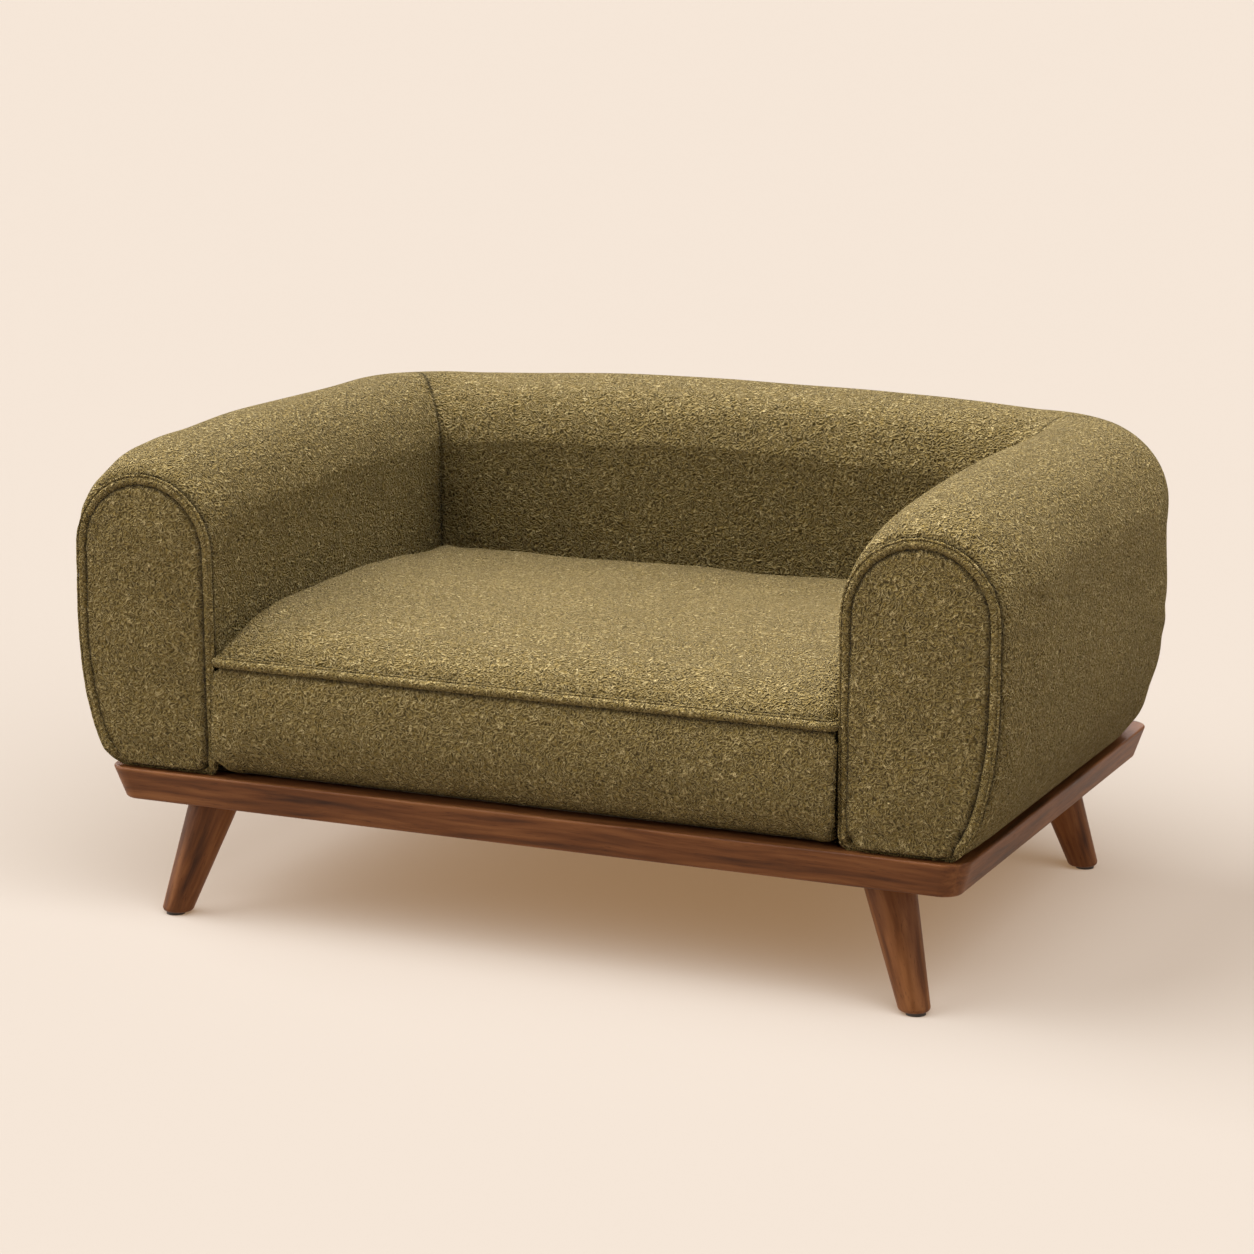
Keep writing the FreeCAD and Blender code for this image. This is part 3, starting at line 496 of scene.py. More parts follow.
def apply_modifier(piece: bpy.types.Object, kind: str, **settings: object) -> None:
    """Adds one modifier and applies it.

    Args:
        piece: the mesh to change.
        kind: the modifier's type.
        settings: the modifier's properties.
    """
    select_only(piece)
    modifier = piece.modifiers.new(kind.lower(), kind)
    for key, value in settings.items():
        setattr(modifier, key, value)
    bpy.ops.object.modifier_apply(modifier=modifier.name)


def subdivided(piece: bpy.types.Object) -> None:
    """Applies one level of subdivision."""
    apply_modifier(piece, "SUBSURF", levels=1, render_levels=1)


def shade_smooth(piece: bpy.types.Object) -> None:
    """Smooth shading all over."""
    select_only(piece)
    bpy.ops.object.shade_smooth()


def smoothstep(value: np.ndarray, low: float, high: float) -> np.ndarray:
    """Smooth step from 0 at the low value to 1 at the high one."""
    share = np.clip((value - low) / (high - low), 0.0, 1.0)
    return share * share * (3.0 - 2.0 * share)


def ripple(places: np.ndarray, wavelength: float, seed: int) -> np.ndarray:
    """Soft uneven value from -1 to 1 at each place, the same on every run.

    Args:
        places: points, one row each.
        wavelength: typical distance between bumps, in metres.
        seed: picks the pattern.

    Returns:
        One value for each point.
    """
    random = np.random.default_rng(seed)
    total = np.zeros(len(places))
    waves = 7
    for _ in range(waves):
        direction = random.normal(size=3)
        direction *= 2.0 * math.pi / (wavelength * random.uniform(0.7, 1.5) * np.linalg.norm(direction))
        total += np.sin(places @ direction + random.uniform(0.0, 2.0 * math.pi))
    return total / math.sqrt(waves * 2.0)


class Path:
    """A smooth closed route, such as a seam, that knows how far other points lie from it."""

    def __init__(self, places: np.ndarray, step: float = 0.003) -> None:
        """Divides the closed route evenly.

        Args:
            places: points on the route in order, one row each.
            step: distance between the even points.
        """
        ring = np.concatenate([places, places[:1]])
        gaps = np.linalg.norm(np.diff(ring, axis=0), axis=1)
        marks = np.concatenate([[0.0], np.cumsum(gaps)])
        self.length = float(marks[-1])
        count = max(8, round(self.length / step))
        self.marks = np.linspace(0.0, self.length, count, endpoint=False)
        self.places = np.stack([np.interp(self.marks, marks, ring[:, i]) for i in range(3)], axis=1)
        self.tree = KDTree(count)
        for i, place in enumerate(self.places):
            self.tree.insert(place, i)
        self.tree.balance()

    def nearest(self, places: np.ndarray) -> tuple[np.ndarray, np.ndarray]:
        """Distance from the route, and the index of the nearest of its points."""
        found = [self.tree.find(p) for p in places]
        return np.array([f[2] for f in found]), np.array([f[1] for f in found])

    def around(self, points: np.ndarray, axes: tuple[int, int]) -> np.ndarray:
        """Which points of a plane the closed route goes round.

        Args:
            points: places in the plane, one row each.
            axes: the two axes that span the plane.

        Returns:
            True for each point inside the route.
        """
        route = self.places[:, axes]
        crossings = np.zeros(len(points), dtype=bool)
        for (xa, ya), (xb, yb) in zip(route, np.roll(route, -1, axis=0)):
            if abs(yb - ya) > 1e-12:
                straddles = (ya > points[:, 1]) != (yb > points[:, 1])
                crossings ^= straddles & (points[:, 0] < (xb - xa) * (points[:, 1] - ya) / (yb - ya) + xa)
        return crossings

    def draw_in(self, places: np.ndarray, pull: float, reach: float) -> np.ndarray:
        """Draws cloth towards the route, so that a cord laid on it hides the seam.

        Args:
            places: points of the cloth.
            pull: how far cloth on the route itself would move.
            reach: distance over which the pull dies away.

        Returns:
            The moved points.
        """
        distance, index = self.nearest(places)
        step = np.minimum(pull * np.exp(-((distance / reach) ** 2)), distance * 0.8)
        toward = self.places[index] - places
        return places + toward * (step / np.maximum(distance, 1e-9))[:, None]


def arc(centre: tuple[float, float], radii: tuple[float, float], start: float, end: float) -> list:
    """Points of an elliptical quarter in a plane, both ends included.

    Args:
        centre: its middle.
        radii: its two half axes.
        start: angle of its first point, in degrees.
        end: angle of its last point, in degrees.

    Returns:
        The points in order.
    """
    steps = 14
    turns = [math.radians(start + (end - start) * i / steps) for i in range(steps + 1)]
    return [(centre[0] + radii[0] * math.cos(t), centre[1] + radii[1] * math.sin(t)) for t in turns]


@dataclass
class Cord:
    """Round piping along a closed path, with the fold of cloth that it is sewn in by."""

    name: str
    path: Path
    upright: bool = False
    radius: float = 0.0046
    fold: float = 0.0012
    fold_reach: float = 0.0053
    sides: int = 12
    uneven: float = 0.0003

    def tube(self, name: str, offset: np.ndarray, radius: float) -> bpy.types.Object:
        """One closed tube along the path, moved aside by the offset at each of its points.

        Args:
            name: the tube's name.
            offset: how far each point of the path is moved, in metres.
            radius: the tube's radius.

        Returns:
            The tube as a mesh.
        """
        bpy.ops.curve.primitive_bezier_circle_add(radius=radius)
        ring = bpy.context.object
        ring.data.resolution_u = self.sides // 4
        curve = bpy.data.curves.new(name, "CURVE")
        curve.dimensions = "3D"
        curve.bevel_mode = "OBJECT"
        curve.bevel_object = ring
        curve.twist_mode = "Z_UP" if self.upright else "MINIMUM"
        spline = curve.splines.new("POLY")
        spline.points.add(len(self.path.places) - 1)
        flat = np.concatenate([self.path.places + offset, np.ones((len(self.path.places), 1))], axis=1)
        spline.points.foreach_set("co", flat.ravel())
        spline.use_cyclic_u = True
        tube = bpy.data.objects.new(name, curve)
        bpy.context.scene.collection.objects.link(tube)
        select_only(tube)
        bpy.ops.object.convert(target="MESH")
        bpy.data.objects.remove(ring)
        return tube

    def fold_offset(self) -> np.ndarray:
        """Where the fold lies beside the cord: above an upright one, outside any other.

        Returns:
            The offset at each point of the path.
        """
        out = self.path.places - self.path.places.mean(axis=0)
        if self.upright:
            out = np.array([0.0, 0.0, 1.0]) - 0.2 * out / np.linalg.norm(out, axis=1)[:, None]
        else:
            out = np.array([0.0, -0.45, 0.0]) + out / np.linalg.norm(out, axis=1)[:, None]
        ahead = np.roll(self.path.places, -1, axis=0) - np.roll(self.path.places, 1, axis=0)
        ahead /= np.linalg.norm(ahead, axis=1)[:, None]
        out -= ahead * np.sum(out * ahead, axis=1)[:, None]
        return out * (self.fold_reach / np.linalg.norm(out, axis=1))[:, None]

    def build(self) -> bpy.types.Object:
        """Makes the cord and its fold as one piece.

        Returns:
            The finished piece.
        """
        round_cord = self.tube(self.name, np.zeros(3), self.radius)
        fold = self.tube(self.name + "_fold", self.fold_offset(), self.fold)
        select_only(round_cord, fold)
        bpy.ops.object.join()
        piece = bpy.context.object
        select_only(piece)
        bpy.ops.object.mode_set(mode="EDIT")
        bpy.ops.mesh.select_all(action="SELECT")
        bpy.ops.mesh.remove_doubles(threshold=1e-6)
        bpy.ops.mesh.normals_make_consistent(inside=False)
        bpy.ops.object.mode_set(mode="OBJECT")
        places = points_of(piece)
        set_points(piece, places + normals_of(piece) * (ripple(places, 0.011, 5) * self.uneven)[:, None])
        shade_smooth(piece)
        return piece


# --- Padded forms -----------------------------------------------------------------------------
@dataclass
class Padded:
    """A stuffed form: copied from its structure's solids, remeshed, inflated and finished.

    Subclasses say where the cloth is held, and what is pressed into it afterwards.
    """

    name: str
    solids: tuple[str, ...]
    voxel: float = 0.006
    tuck: float = 0.0012
    swell: float = 0.0030
    pressure: float = 4.0
    frames: int = 20
    smoothing: int = 8
    fine_reach: float = 0.014
    # reach of the painted shade beside the seams
    crease_near: float = 0.0052
    crease_far: float = 0.0086
    pull: float = 0.0068
    pull_reach: float = 0.0054

    def blank(self) -> bpy.types.Object:
        """One closed skin round copies of the solids that the form is made of.

        Returns:
            The skin.
        """
        copies = []
        for node in self.solids:
            copy = bpy.data.objects.new(self.name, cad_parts[node].data.copy())
            bpy.context.scene.collection.objects.link(copy)
            copies.append(copy)
        select_only(*copies)
        bpy.ops.object.join()
        blank = bpy.context.object
        blank.name = self.name
        blank.data.materials.clear()
        apply_modifier(blank, "REMESH", mode="VOXEL", voxel_size=self.voxel)
        return self.outer_skin(blank)

    @staticmethod
    def outer_skin(blank: bpy.types.Object) -> bpy.types.Object:
        """Keeps only the largest separate shell.

        Args:
            blank: a mesh that may hold several shells.

        Returns:
            The shell that is kept, under the same name.
        """
        select_only(blank)
        bpy.ops.object.mode_set(mode="EDIT")
        bpy.ops.mesh.select_all(action="SELECT")
        bpy.ops.mesh.separate(type="LOOSE")
        bpy.ops.object.mode_set(mode="OBJECT")
        shells = sorted(bpy.context.selected_objects, key=lambda o: -o.dimensions.length)
        name = blank.name
        for other in shells[1:]:
            bpy.data.objects.remove(other)
        shells[0].name = name
        return shells[0]

    def held(self, places: np.ndarray) -> np.ndarray:
        """How firmly the cloth is held at each place, from 0 to 1."""
        return np.zeros(len(places))

    def inflate(self, piece: bpy.types.Object) -> None:
        """Swells the cloth by simulation between the places where it is held.
        """
        first = points_of(piece)
        hold = self.held(first)
        start = first - normals_of(piece) * (self.tuck * (1.0 - hold))[:, None]
        set_points(piece, start)
        group = piece.vertex_groups.new(name="held")
        levels = np.round(hold * 10).astype(int)
        for level in np.unique(levels):
            group.add(np.flatnonzero(levels == level).tolist(), level / 10.0, "REPLACE")
        cloth = piece.modifiers.new("cloth", "CLOTH")
        cloth.settings.vertex_group_mass = group.name
        cloth.settings.use_pressure = True
        cloth.settings.uniform_pressure_force = self.pressure
        cloth.settings.effector_weights.gravity = 0.0
        cloth.point_cache.frame_end = self.frames
        for step in range(1, self.frames + 1):
            bpy.context.scene.frame_set(step)
        swollen = piece.evaluated_get(bpy.context.evaluated_depsgraph_get())
        move = points_of(swollen) - start
        piece.modifiers.remove(cloth)
        bpy.context.scene.frame_set(1)
        piece.vertex_groups.remove(group)
        length = np.linalg.norm(move, axis=1)
        LOG.info("%s: cloth moved %.1f mm on average, %.1f mm at most before its limit", self.name,
                 1000.0 * length.mean(), 1000.0 * length.max())
        move *= np.minimum(1.0, self.swell / np.maximum(length, 1e-9))[:, None]
        set_points(piece, start + move)

    def press(self, places: np.ndarray, normals: np.ndarray) -> np.ndarray:
        """Places of the finished cloth, with its seams and tucks pressed in."""
        return places

    def shaped(self) -> bpy.types.Object:
        """The finished form, still in one piece.

        Returns:
            The form.
        """
        piece = self.blank()
        apply_modifier(piece, "SMOOTH", factor=0.5, iterations=2)
        self.inflate(piece)
        apply_modifier(piece, "SMOOTH", factor=0.5, iterations=self.smoothing)
        subdivided(piece)
        self.refine(piece)
        set_points(piece, self.press(points_of(piece), normals_of(piece)))
        return piece

    def seams(self) -> list[Path]:
        """Routes along which the cloth needs a finer mesh."""
        return []

    def refine(self, piece: bpy.types.Object) -> None:
        """Divides the faces beside the seams once more.

        Args:
            piece: the mesh to refine.
        """
        mesh = piece.data
        centres = np.empty(len(mesh.polygons) * 3)
        mesh.polygons.foreach_get("center", centres)
        near = np.zeros(len(mesh.polygons), dtype=bool)
        for seam in self.seams():
            near |= seam.nearest(centres.reshape(-1, 3))[0] < self.fine_reach
        self.select_faces(piece, near)
        bpy.ops.mesh.subdivide(number_cuts=1)
        bpy.ops.object.mode_set(mode="OBJECT")

    @staticmethod
    def select_faces(piece: bpy.types.Object, chosen: np.ndarray) -> None:
        """Opens a piece for editing with just the chosen faces selected.

        Args:
            piece: the mesh to open.
            chosen: True for each face to select.
        """
        mesh = piece.data
        mesh.vertices.foreach_set("select", np.zeros(len(mesh.vertices), dtype=bool))
        mesh.edges.foreach_set("select", np.zeros(len(mesh.edges), dtype=bool))
        mesh.polygons.foreach_set("select", chosen)
        select_only(piece)
        bpy.context.tool_settings.mesh_select_mode = (False, False, True)
        bpy.ops.object.mode_set(mode="EDIT")

    def crease(self, places: np.ndarray) -> np.ndarray:
        """How far into the sewn creases each place lies, from 0 to 1; this mask paints shade into the cloth
        there.

        Args:
            places: points of the cloth, one row each.

        Returns:
            One depth for each point.
        """
        depth = np.zeros(len(places))
        for seam in self.seams():
            distance, _ = seam.nearest(places)
            depth = np.maximum(depth, 1.0 - smoothstep(distance, self.crease_near, self.crease_far))
        return depth

    def settle(self, piece: bpy.types.Object, nodes: tuple[str, ...], body: str, slot: str,
               fill: float) -> None:
        """Args:
            piece: the finished piece.
            nodes: the solids that it stands for.
            body: the body that it rides on.
            slot: its material slot; not used.
            fill: share of its inside that is stuffing; not used.
        """
        shade_smooth(piece)
        # the mark written here paints shade into the creases by the seams
        marks = piece.data.attributes.new("crease", "FLOAT", "POINT")
        marks.data.foreach_set("value", self.crease(points_of(piece)).astype(np.float32))
        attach(piece, body)
        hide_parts(*nodes)
        LOG.info("%s: %d faces", piece.name, len(piece.data.polygons))


class Side(Enum):
    """The two sides of the bed, with the sign of X on each."""

    LEFT = -1
    RIGHT = 1

    @property
    def word(self) -> str:
        """The side's name as pieces use it."""
        return self.name.lower()


@dataclass
class PanelLine:
    """Route of the piping round one arm's front panel, tucked back where it lies on the deck."""

    side: Side
    radius: float = 0.0040
    skirt_reach: float = 0.050
    skirt_rise: float = 0.155
    heel: float = 0.012
    tuck_back: float = 0.0095
    proud: float = 0.0010

    def path(self) -> Path:
        """The closed route of the piping's middle.

        Returns:
            The route.
        """
        low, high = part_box(f"{self.side.word}_arm_welt")
        near, far = sorted((abs(low.x), abs(high.x)))
        base, top, y = low.z, high.z - self.radius, (low.y + high.y) / 2.0
        width = far - near
        spring, knee = high.z - width / 2.0, base + self.skirt_rise
        middle, toe = near + width / 2.0, far - self.skirt_reach
        inside, outside = near + self.radius, far - self.radius
        bottom = base + self.radius
        flat = arc((middle, spring), (middle - inside, top - spring), 180.0, 0.0)
        flat += arc((toe, knee), (outside - toe, knee - bottom), 0.0, -90.0)
        flat += arc((near + self.heel, base + self.heel), (self.heel - self.radius,) * 2, 270.0, 180.0)
        x, z = np.array(flat).T
        back = y - self.proud + self.tuck_back * (1.0 - smoothstep(z - base, 0.005, 0.018))
        return Path(np.stack([self.side.value * x, back, z], axis=1))


@dataclass
class Bolster(Padded):
    """Both arms and the back, swollen as one skin and then parted at their seams."""

    crown: float = 0.0060
    fullness: float = 0.0020
    arch: float = 0.0050
    corner_radius: float = 0.026
    seam_depth: float = 0.0016
    front_reach: float = 0.09
    # strength and reach of the painted shade along the mitre seams
    mitre_shade: float = 0.85
    mitre_near: float = 0.0006
    mitre_far: float = 0.0030

    def __post_init__(self) -> None:
        """Finds the deck, the inner faces, the front and the pipings."""
        arm_low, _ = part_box("right_arm_cover")
        back_low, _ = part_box("back_cover")
        self.deck, self.front = arm_low.z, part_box("right_front_panel")[0].y
        self.inner, self.corner = arm_low.x + 0.0004, back_low.y + 0.0004
        self.lines = {side: PanelLine(side).path() for side in Side}

    def held(self, places: np.ndarray) -> np.ndarray:
        """Held along the deck, beside the pipings and on the inner faces.

        Args:
            places: points of the cloth, one row each.

        Returns:
            How firmly, from 0 to 1.
        """
        depth = np.maximum(np.abs(places[:, 0]) - self.inner, places[:, 1] - self.corner)
        hold = 1.0 - smoothstep(places[:, 2] - self.deck, 0.003, 0.012)
        hold = np.maximum(hold, 1.0 - smoothstep(depth, 0.001, 0.010))
        for line in self.lines.values():
            distance, _ = line.nearest(places)
            hold = np.maximum(hold, 1.0 - smoothstep(distance, 0.006, 0.024))
        return hold

    def seams(self) -> list[Path]:
        """The pipings of both front panels."""
        return list(self.lines.values())

    def press(self, places: np.ndarray, normals: np.ndarray) -> np.ndarray:
        """Finishes the fronts and keeps the inner faces clear of the cushion.

        Args:
            places: points of the cloth, one row each.
            normals: the cloth's normals there.

        Returns:
            The pressed points.
        """
        free = smoothstep(places[:, 2] - self.deck, 0.004, 0.04)
        uneven = ripple(places, 0.12, 21) * 0.0007
        places = places + normals * ((self.fullness + uneven) * free)[:, None]
        along = np.clip((self.corner - places[:, 1]) / (self.corner - self.front), 0.0, 1.0)
        lifted = smoothstep(places[:, 2] - self.deck, 0.15, 0.30)
        places[:, 2] += self.arch * np.sin(np.pi * along) ** 2 * lifted
        for side in Side:
            near = (places[:, 1] < self.front + self.front_reach) & (places[:, 0] * side.value > 0.0)
            places[near] = self.shape_front(places[near], normals[near], side)
        x = np.abs(places[:, 0])
        short, back = self.inner - x, self.corner - places[:, 1]
        inside = (short > 0.0) & (back > 0.0)
        sideways = inside & (short <= back)
        places[sideways, 0] = np.sign(places[sideways, 0]) * self.inner
        places[inside & ~sideways, 1] = self.corner
        return places

    def shape_front(self, places: np.ndarray, normals: np.ndarray, side: Side) -> np.ndarray:
        """Crowns one arm's front panel, rounds its inner corner and draws the cloth in at the piping.

        Args:
            places: points of the cloth, one row each.
            normals: the cloth's normals there.
            side: which arm.

        Returns:
            The shaped points.
        """
        line = self.lines[side]
        distance, index = line.nearest(places)
        marks = line.marks[index]
        face = line.around(places[:, [0, 2]], (0, 2)) & (places[:, 1] < self.front + 0.010)
        pucker = np.sin(marks * 2.0 * math.pi / 0.022 + 2.5 * np.sin(marks * 29.0)) * 0.0004
        out = face * self.crown * (0.55 * smoothstep(distance, 0.0045, 0.0095)
                                   + 0.45 * smoothstep(distance, 0.008, 0.050))
        out = out + pucker * np.exp(-np.maximum(distance - 0.005, 0.0) / 0.010)
        places = places + np.where(face[:, None], np.array([0.0, -1.0, 0.0]), normals) * out[:, None]
        radius = self.corner_radius
        across = np.clip((radius - (np.abs(places[:, 0]) - self.inner)) / radius, 0.0, 1.0)
        down = np.clip((radius - (places[:, 2] - self.deck)) / radius, 0.0, 1.0)
        square = np.maximum(across, down)
        share = square / np.maximum(np.hypot(across, down), 1e-9)
        ahead = 1.0 - smoothstep(places[:, 1] - self.front, 0.012, 0.05)
        shift = (1.0 - share) * radius * ahead * ((across > 0.0) & (down > 0.0))
        places[:, 0] += side.value * across * shift
        places[:, 2] += down * shift
        return line.draw_in(places, self.pull, self.pull_reach)

    def parted(self, whole: bpy.types.Object, name: str, sides: tuple[Side, ...],
               keep_arm: bool) -> bpy.types.Object:
        """Copy of the skin cut and closed at mitre seams.

        Args:
            whole: the skin in one piece.
            name: the new piece's name.
            sides: which mitre planes cut it.
            keep_arm: whether the arm's side of each plane stays, or the back's.

        Returns:
            The closed piece, with its seam drawn in a little.
        """
        piece = bpy.data.objects.new(name, whole.data.copy())
        bpy.context.scene.collection.objects.link(piece)
        for side in sides:
            pivot = np.array([side.value * self.inner, self.corner, 0.0])
            normal = np.array([side.value, -1.0, 0.0]) / math.sqrt(2.0)
            select_only(piece)
            bpy.ops.object.mode_set(mode="EDIT")
            bpy.ops.mesh.select_all(action="SELECT")
            bpy.ops.mesh.bisect(plane_co=tuple(pivot), plane_no=tuple(normal), use_fill=True,
                                clear_inner=keep_arm, clear_outer=not keep_arm)
            bpy.ops.object.mode_set(mode="OBJECT")
            places = points_of(piece)
            rim = np.abs((places - pivot) @ normal) < 2e-5
            toward = places[rim].mean(axis=0) - places[rim]
            toward /= np.maximum(np.linalg.norm(toward, axis=1), 1e-9)[:, None]
            places[rim] += toward * self.seam_depth
            set_points(piece, places)
        return piece

    def crease(self, places: np.ndarray) -> np.ndarray:
        """Adds the mitre seams to the creases by the piping, as painted shade along them.

        Args:
            places: points of the cloth, one row each.

        Returns:
            One depth for each point.
        """
        depth = super().crease(places)
        for side in Side:
            across = (side.value * places[:, 0] - self.inner - places[:, 1] + self.corner) / math.sqrt(2.0)
            # painted shade along each mitre seam
            mitre = 1.0 - smoothstep(np.abs(across), self.mitre_near, self.mitre_far)
            depth = np.maximum(depth, self.mitre_shade * mitre)
        return depth

    def take_panel(self, arm: bpy.types.Object, side: Side) -> bpy.types.Object:
        """Takes the cloth inside the front piping off an arm as a closed piece of its own.

        Args:
            arm: the arm's upholstery, which is closed again behind.
            side: which arm.

        Returns:
            The front cushioning.
        """
        mesh = arm.data
        centres = np.empty(len(mesh.polygons) * 3)
        mesh.polygons.foreach_get("center", centres)
        centres = centres.reshape(-1, 3)
        inside = (centres[:, 1] < self.front + 0.012) & self.lines[side].around(centres[:, [0, 2]], (0, 2))
        self.select_faces(arm, inside)
        bpy.ops.mesh.separate(type="SELECTED")
        bpy.ops.object.mode_set(mode="OBJECT")
        panel = next(o for o in bpy.context.selected_objects if o is not arm)
        panel.name = f"{side.word}_front_cushioning"
        self.close_behind(panel, 0.005)
        self.close_behind(arm, 0.007)
        return panel

    @staticmethod
    def close_behind(piece: bpy.types.Object, depth: float) -> None:
        """Carries a piece's open edge straight back and closes it.

        Args:
            piece: a mesh with one open edge.
            depth: how far back the edge goes, in metres.
        """
        select_only(piece)
        bpy.context.tool_settings.mesh_select_mode = (True, False, False)
        bpy.ops.object.mode_set(mode="EDIT")
        bpy.ops.mesh.select_all(action="DESELECT")
        bpy.ops.mesh.select_non_manifold(extend=False, use_wire=False, use_boundary=True,
                                         use_multi_face=False, use_non_contiguous=False, use_verts=False)
        bpy.ops.mesh.extrude_edges_move(TRANSFORM_OT_translate={"value": (0.0, depth, 0.0)})
        bpy.ops.mesh.select_all(action="SELECT")
        bpy.ops.mesh.fill_holes(sides=0)
        bpy.ops.mesh.normals_make_consistent(inside=False)
        bpy.ops.object.mode_set(mode="OBJECT")

    def build(self, cloth: bpy.types.Material, panel_cloth: bpy.types.Material) -> None:
        """Makes the arms, their front panels and the back.

        Args:
            cloth: cloth of the arms and the back.
            panel_cloth: cloth of the front panels.
        """
        whole = self.shaped()
        for side in Side:
            arm = self.parted(whole, f"{side.word}_arm_upholstery", (side,), True)
            panel = self.take_panel(arm, side)
            arm.data.materials.append(cloth)
            panel.data.materials.append(panel_cloth)
            arm_nodes = (f"{side.word}_arm_cover", f"{side.word}_arm_foam")
            panel_nodes = (f"{side.word}_front_panel", f"{side.word}_front_pad")
            self.settle(arm, arm_nodes, "frame", "boucle", 0.9)
            self.settle(panel, panel_nodes, "frame", "boucle", 0.8)
        back = self.parted(whole, "back_upholstery", tuple(Side), False)
        back.data.materials.append(cloth)
        self.settle(back, ("back_cover", "back_foam"), "frame", "boucle", 0.9)
        bpy.data.objects.remove(whole)


@dataclass
class SeatLine:
    """Route of the piping round the cushion's top, and the plan shape of its front."""

    front_corner: float = 0.029
    back_corner: float = 0.011
    radius: float = 0.0040
    squareness: float = 7.0
    ahead: float = 0.0055
    proud: float = 0.0013
    spread: float = 0.0020

    def __post_init__(self) -> None:
        """Finds the piping's box."""
        low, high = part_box("cushion_welt")
        self.half_width, self.z = high.x - self.radius, (low.z + high.z) / 2.0
        self.front, self.back = low.y + self.radius, high.y - self.radius

    def squared(self, places: np.ndarray) -> np.ndarray:
        """Fills out the rounded front corners, as a stuffed cushion does between two arms.

        Args:
            places: points of the cloth, one row each.

        Returns:
            The moved points.
        """
        places = places.copy()
        r = self.front_corner
        u = (np.abs(places[:, 0]) - (self.half_width - r)) / r
        v = (self.front + r - places[:, 1]) / r
        corner = (u > 0.0) & (v > 0.0)
        u, v = u[corner], v[corner]
        size = np.maximum(np.hypot(u, v), 1e-9)
        n = self.squareness
        grow = ((u / size) ** n + (v / size) ** n) ** (-1.0 / n)
        places[corner, 0] = np.sign(places[corner, 0]) * (self.half_width - r + u * grow * r)
        places[corner, 1] = self.front + r - v * grow * r
        return places

    def path(self) -> Path:
        """The closed route, a little ahead of the boxing at the front.

        Returns:
            The route.
        """
        x, front, back, f, b = self.half_width, self.front, self.back, self.front_corner, self.back_corner
        flat = arc((x - f, front + f), (f, f), -90.0, 0.0)
        flat += arc((x - b, back - b), (b, b), 0.0, 90.0)
        flat += arc((-x + b, back - b), (b, b), 90.0, 180.0)
        flat += arc((-x + f, front + f), (f, f), 180.0, 270.0)
        places = self.squared(np.array([(px, py, self.z) for px, py in flat]))
        share = smoothstep(-places[:, 1], -front - 0.03, -front)
        places[:, 0] += np.sign(places[:, 0]) * self.spread * share
        places[:, 1] -= (self.ahead + self.proud) * share
        places[:, 2] += self.proud * share
        return Path(places)


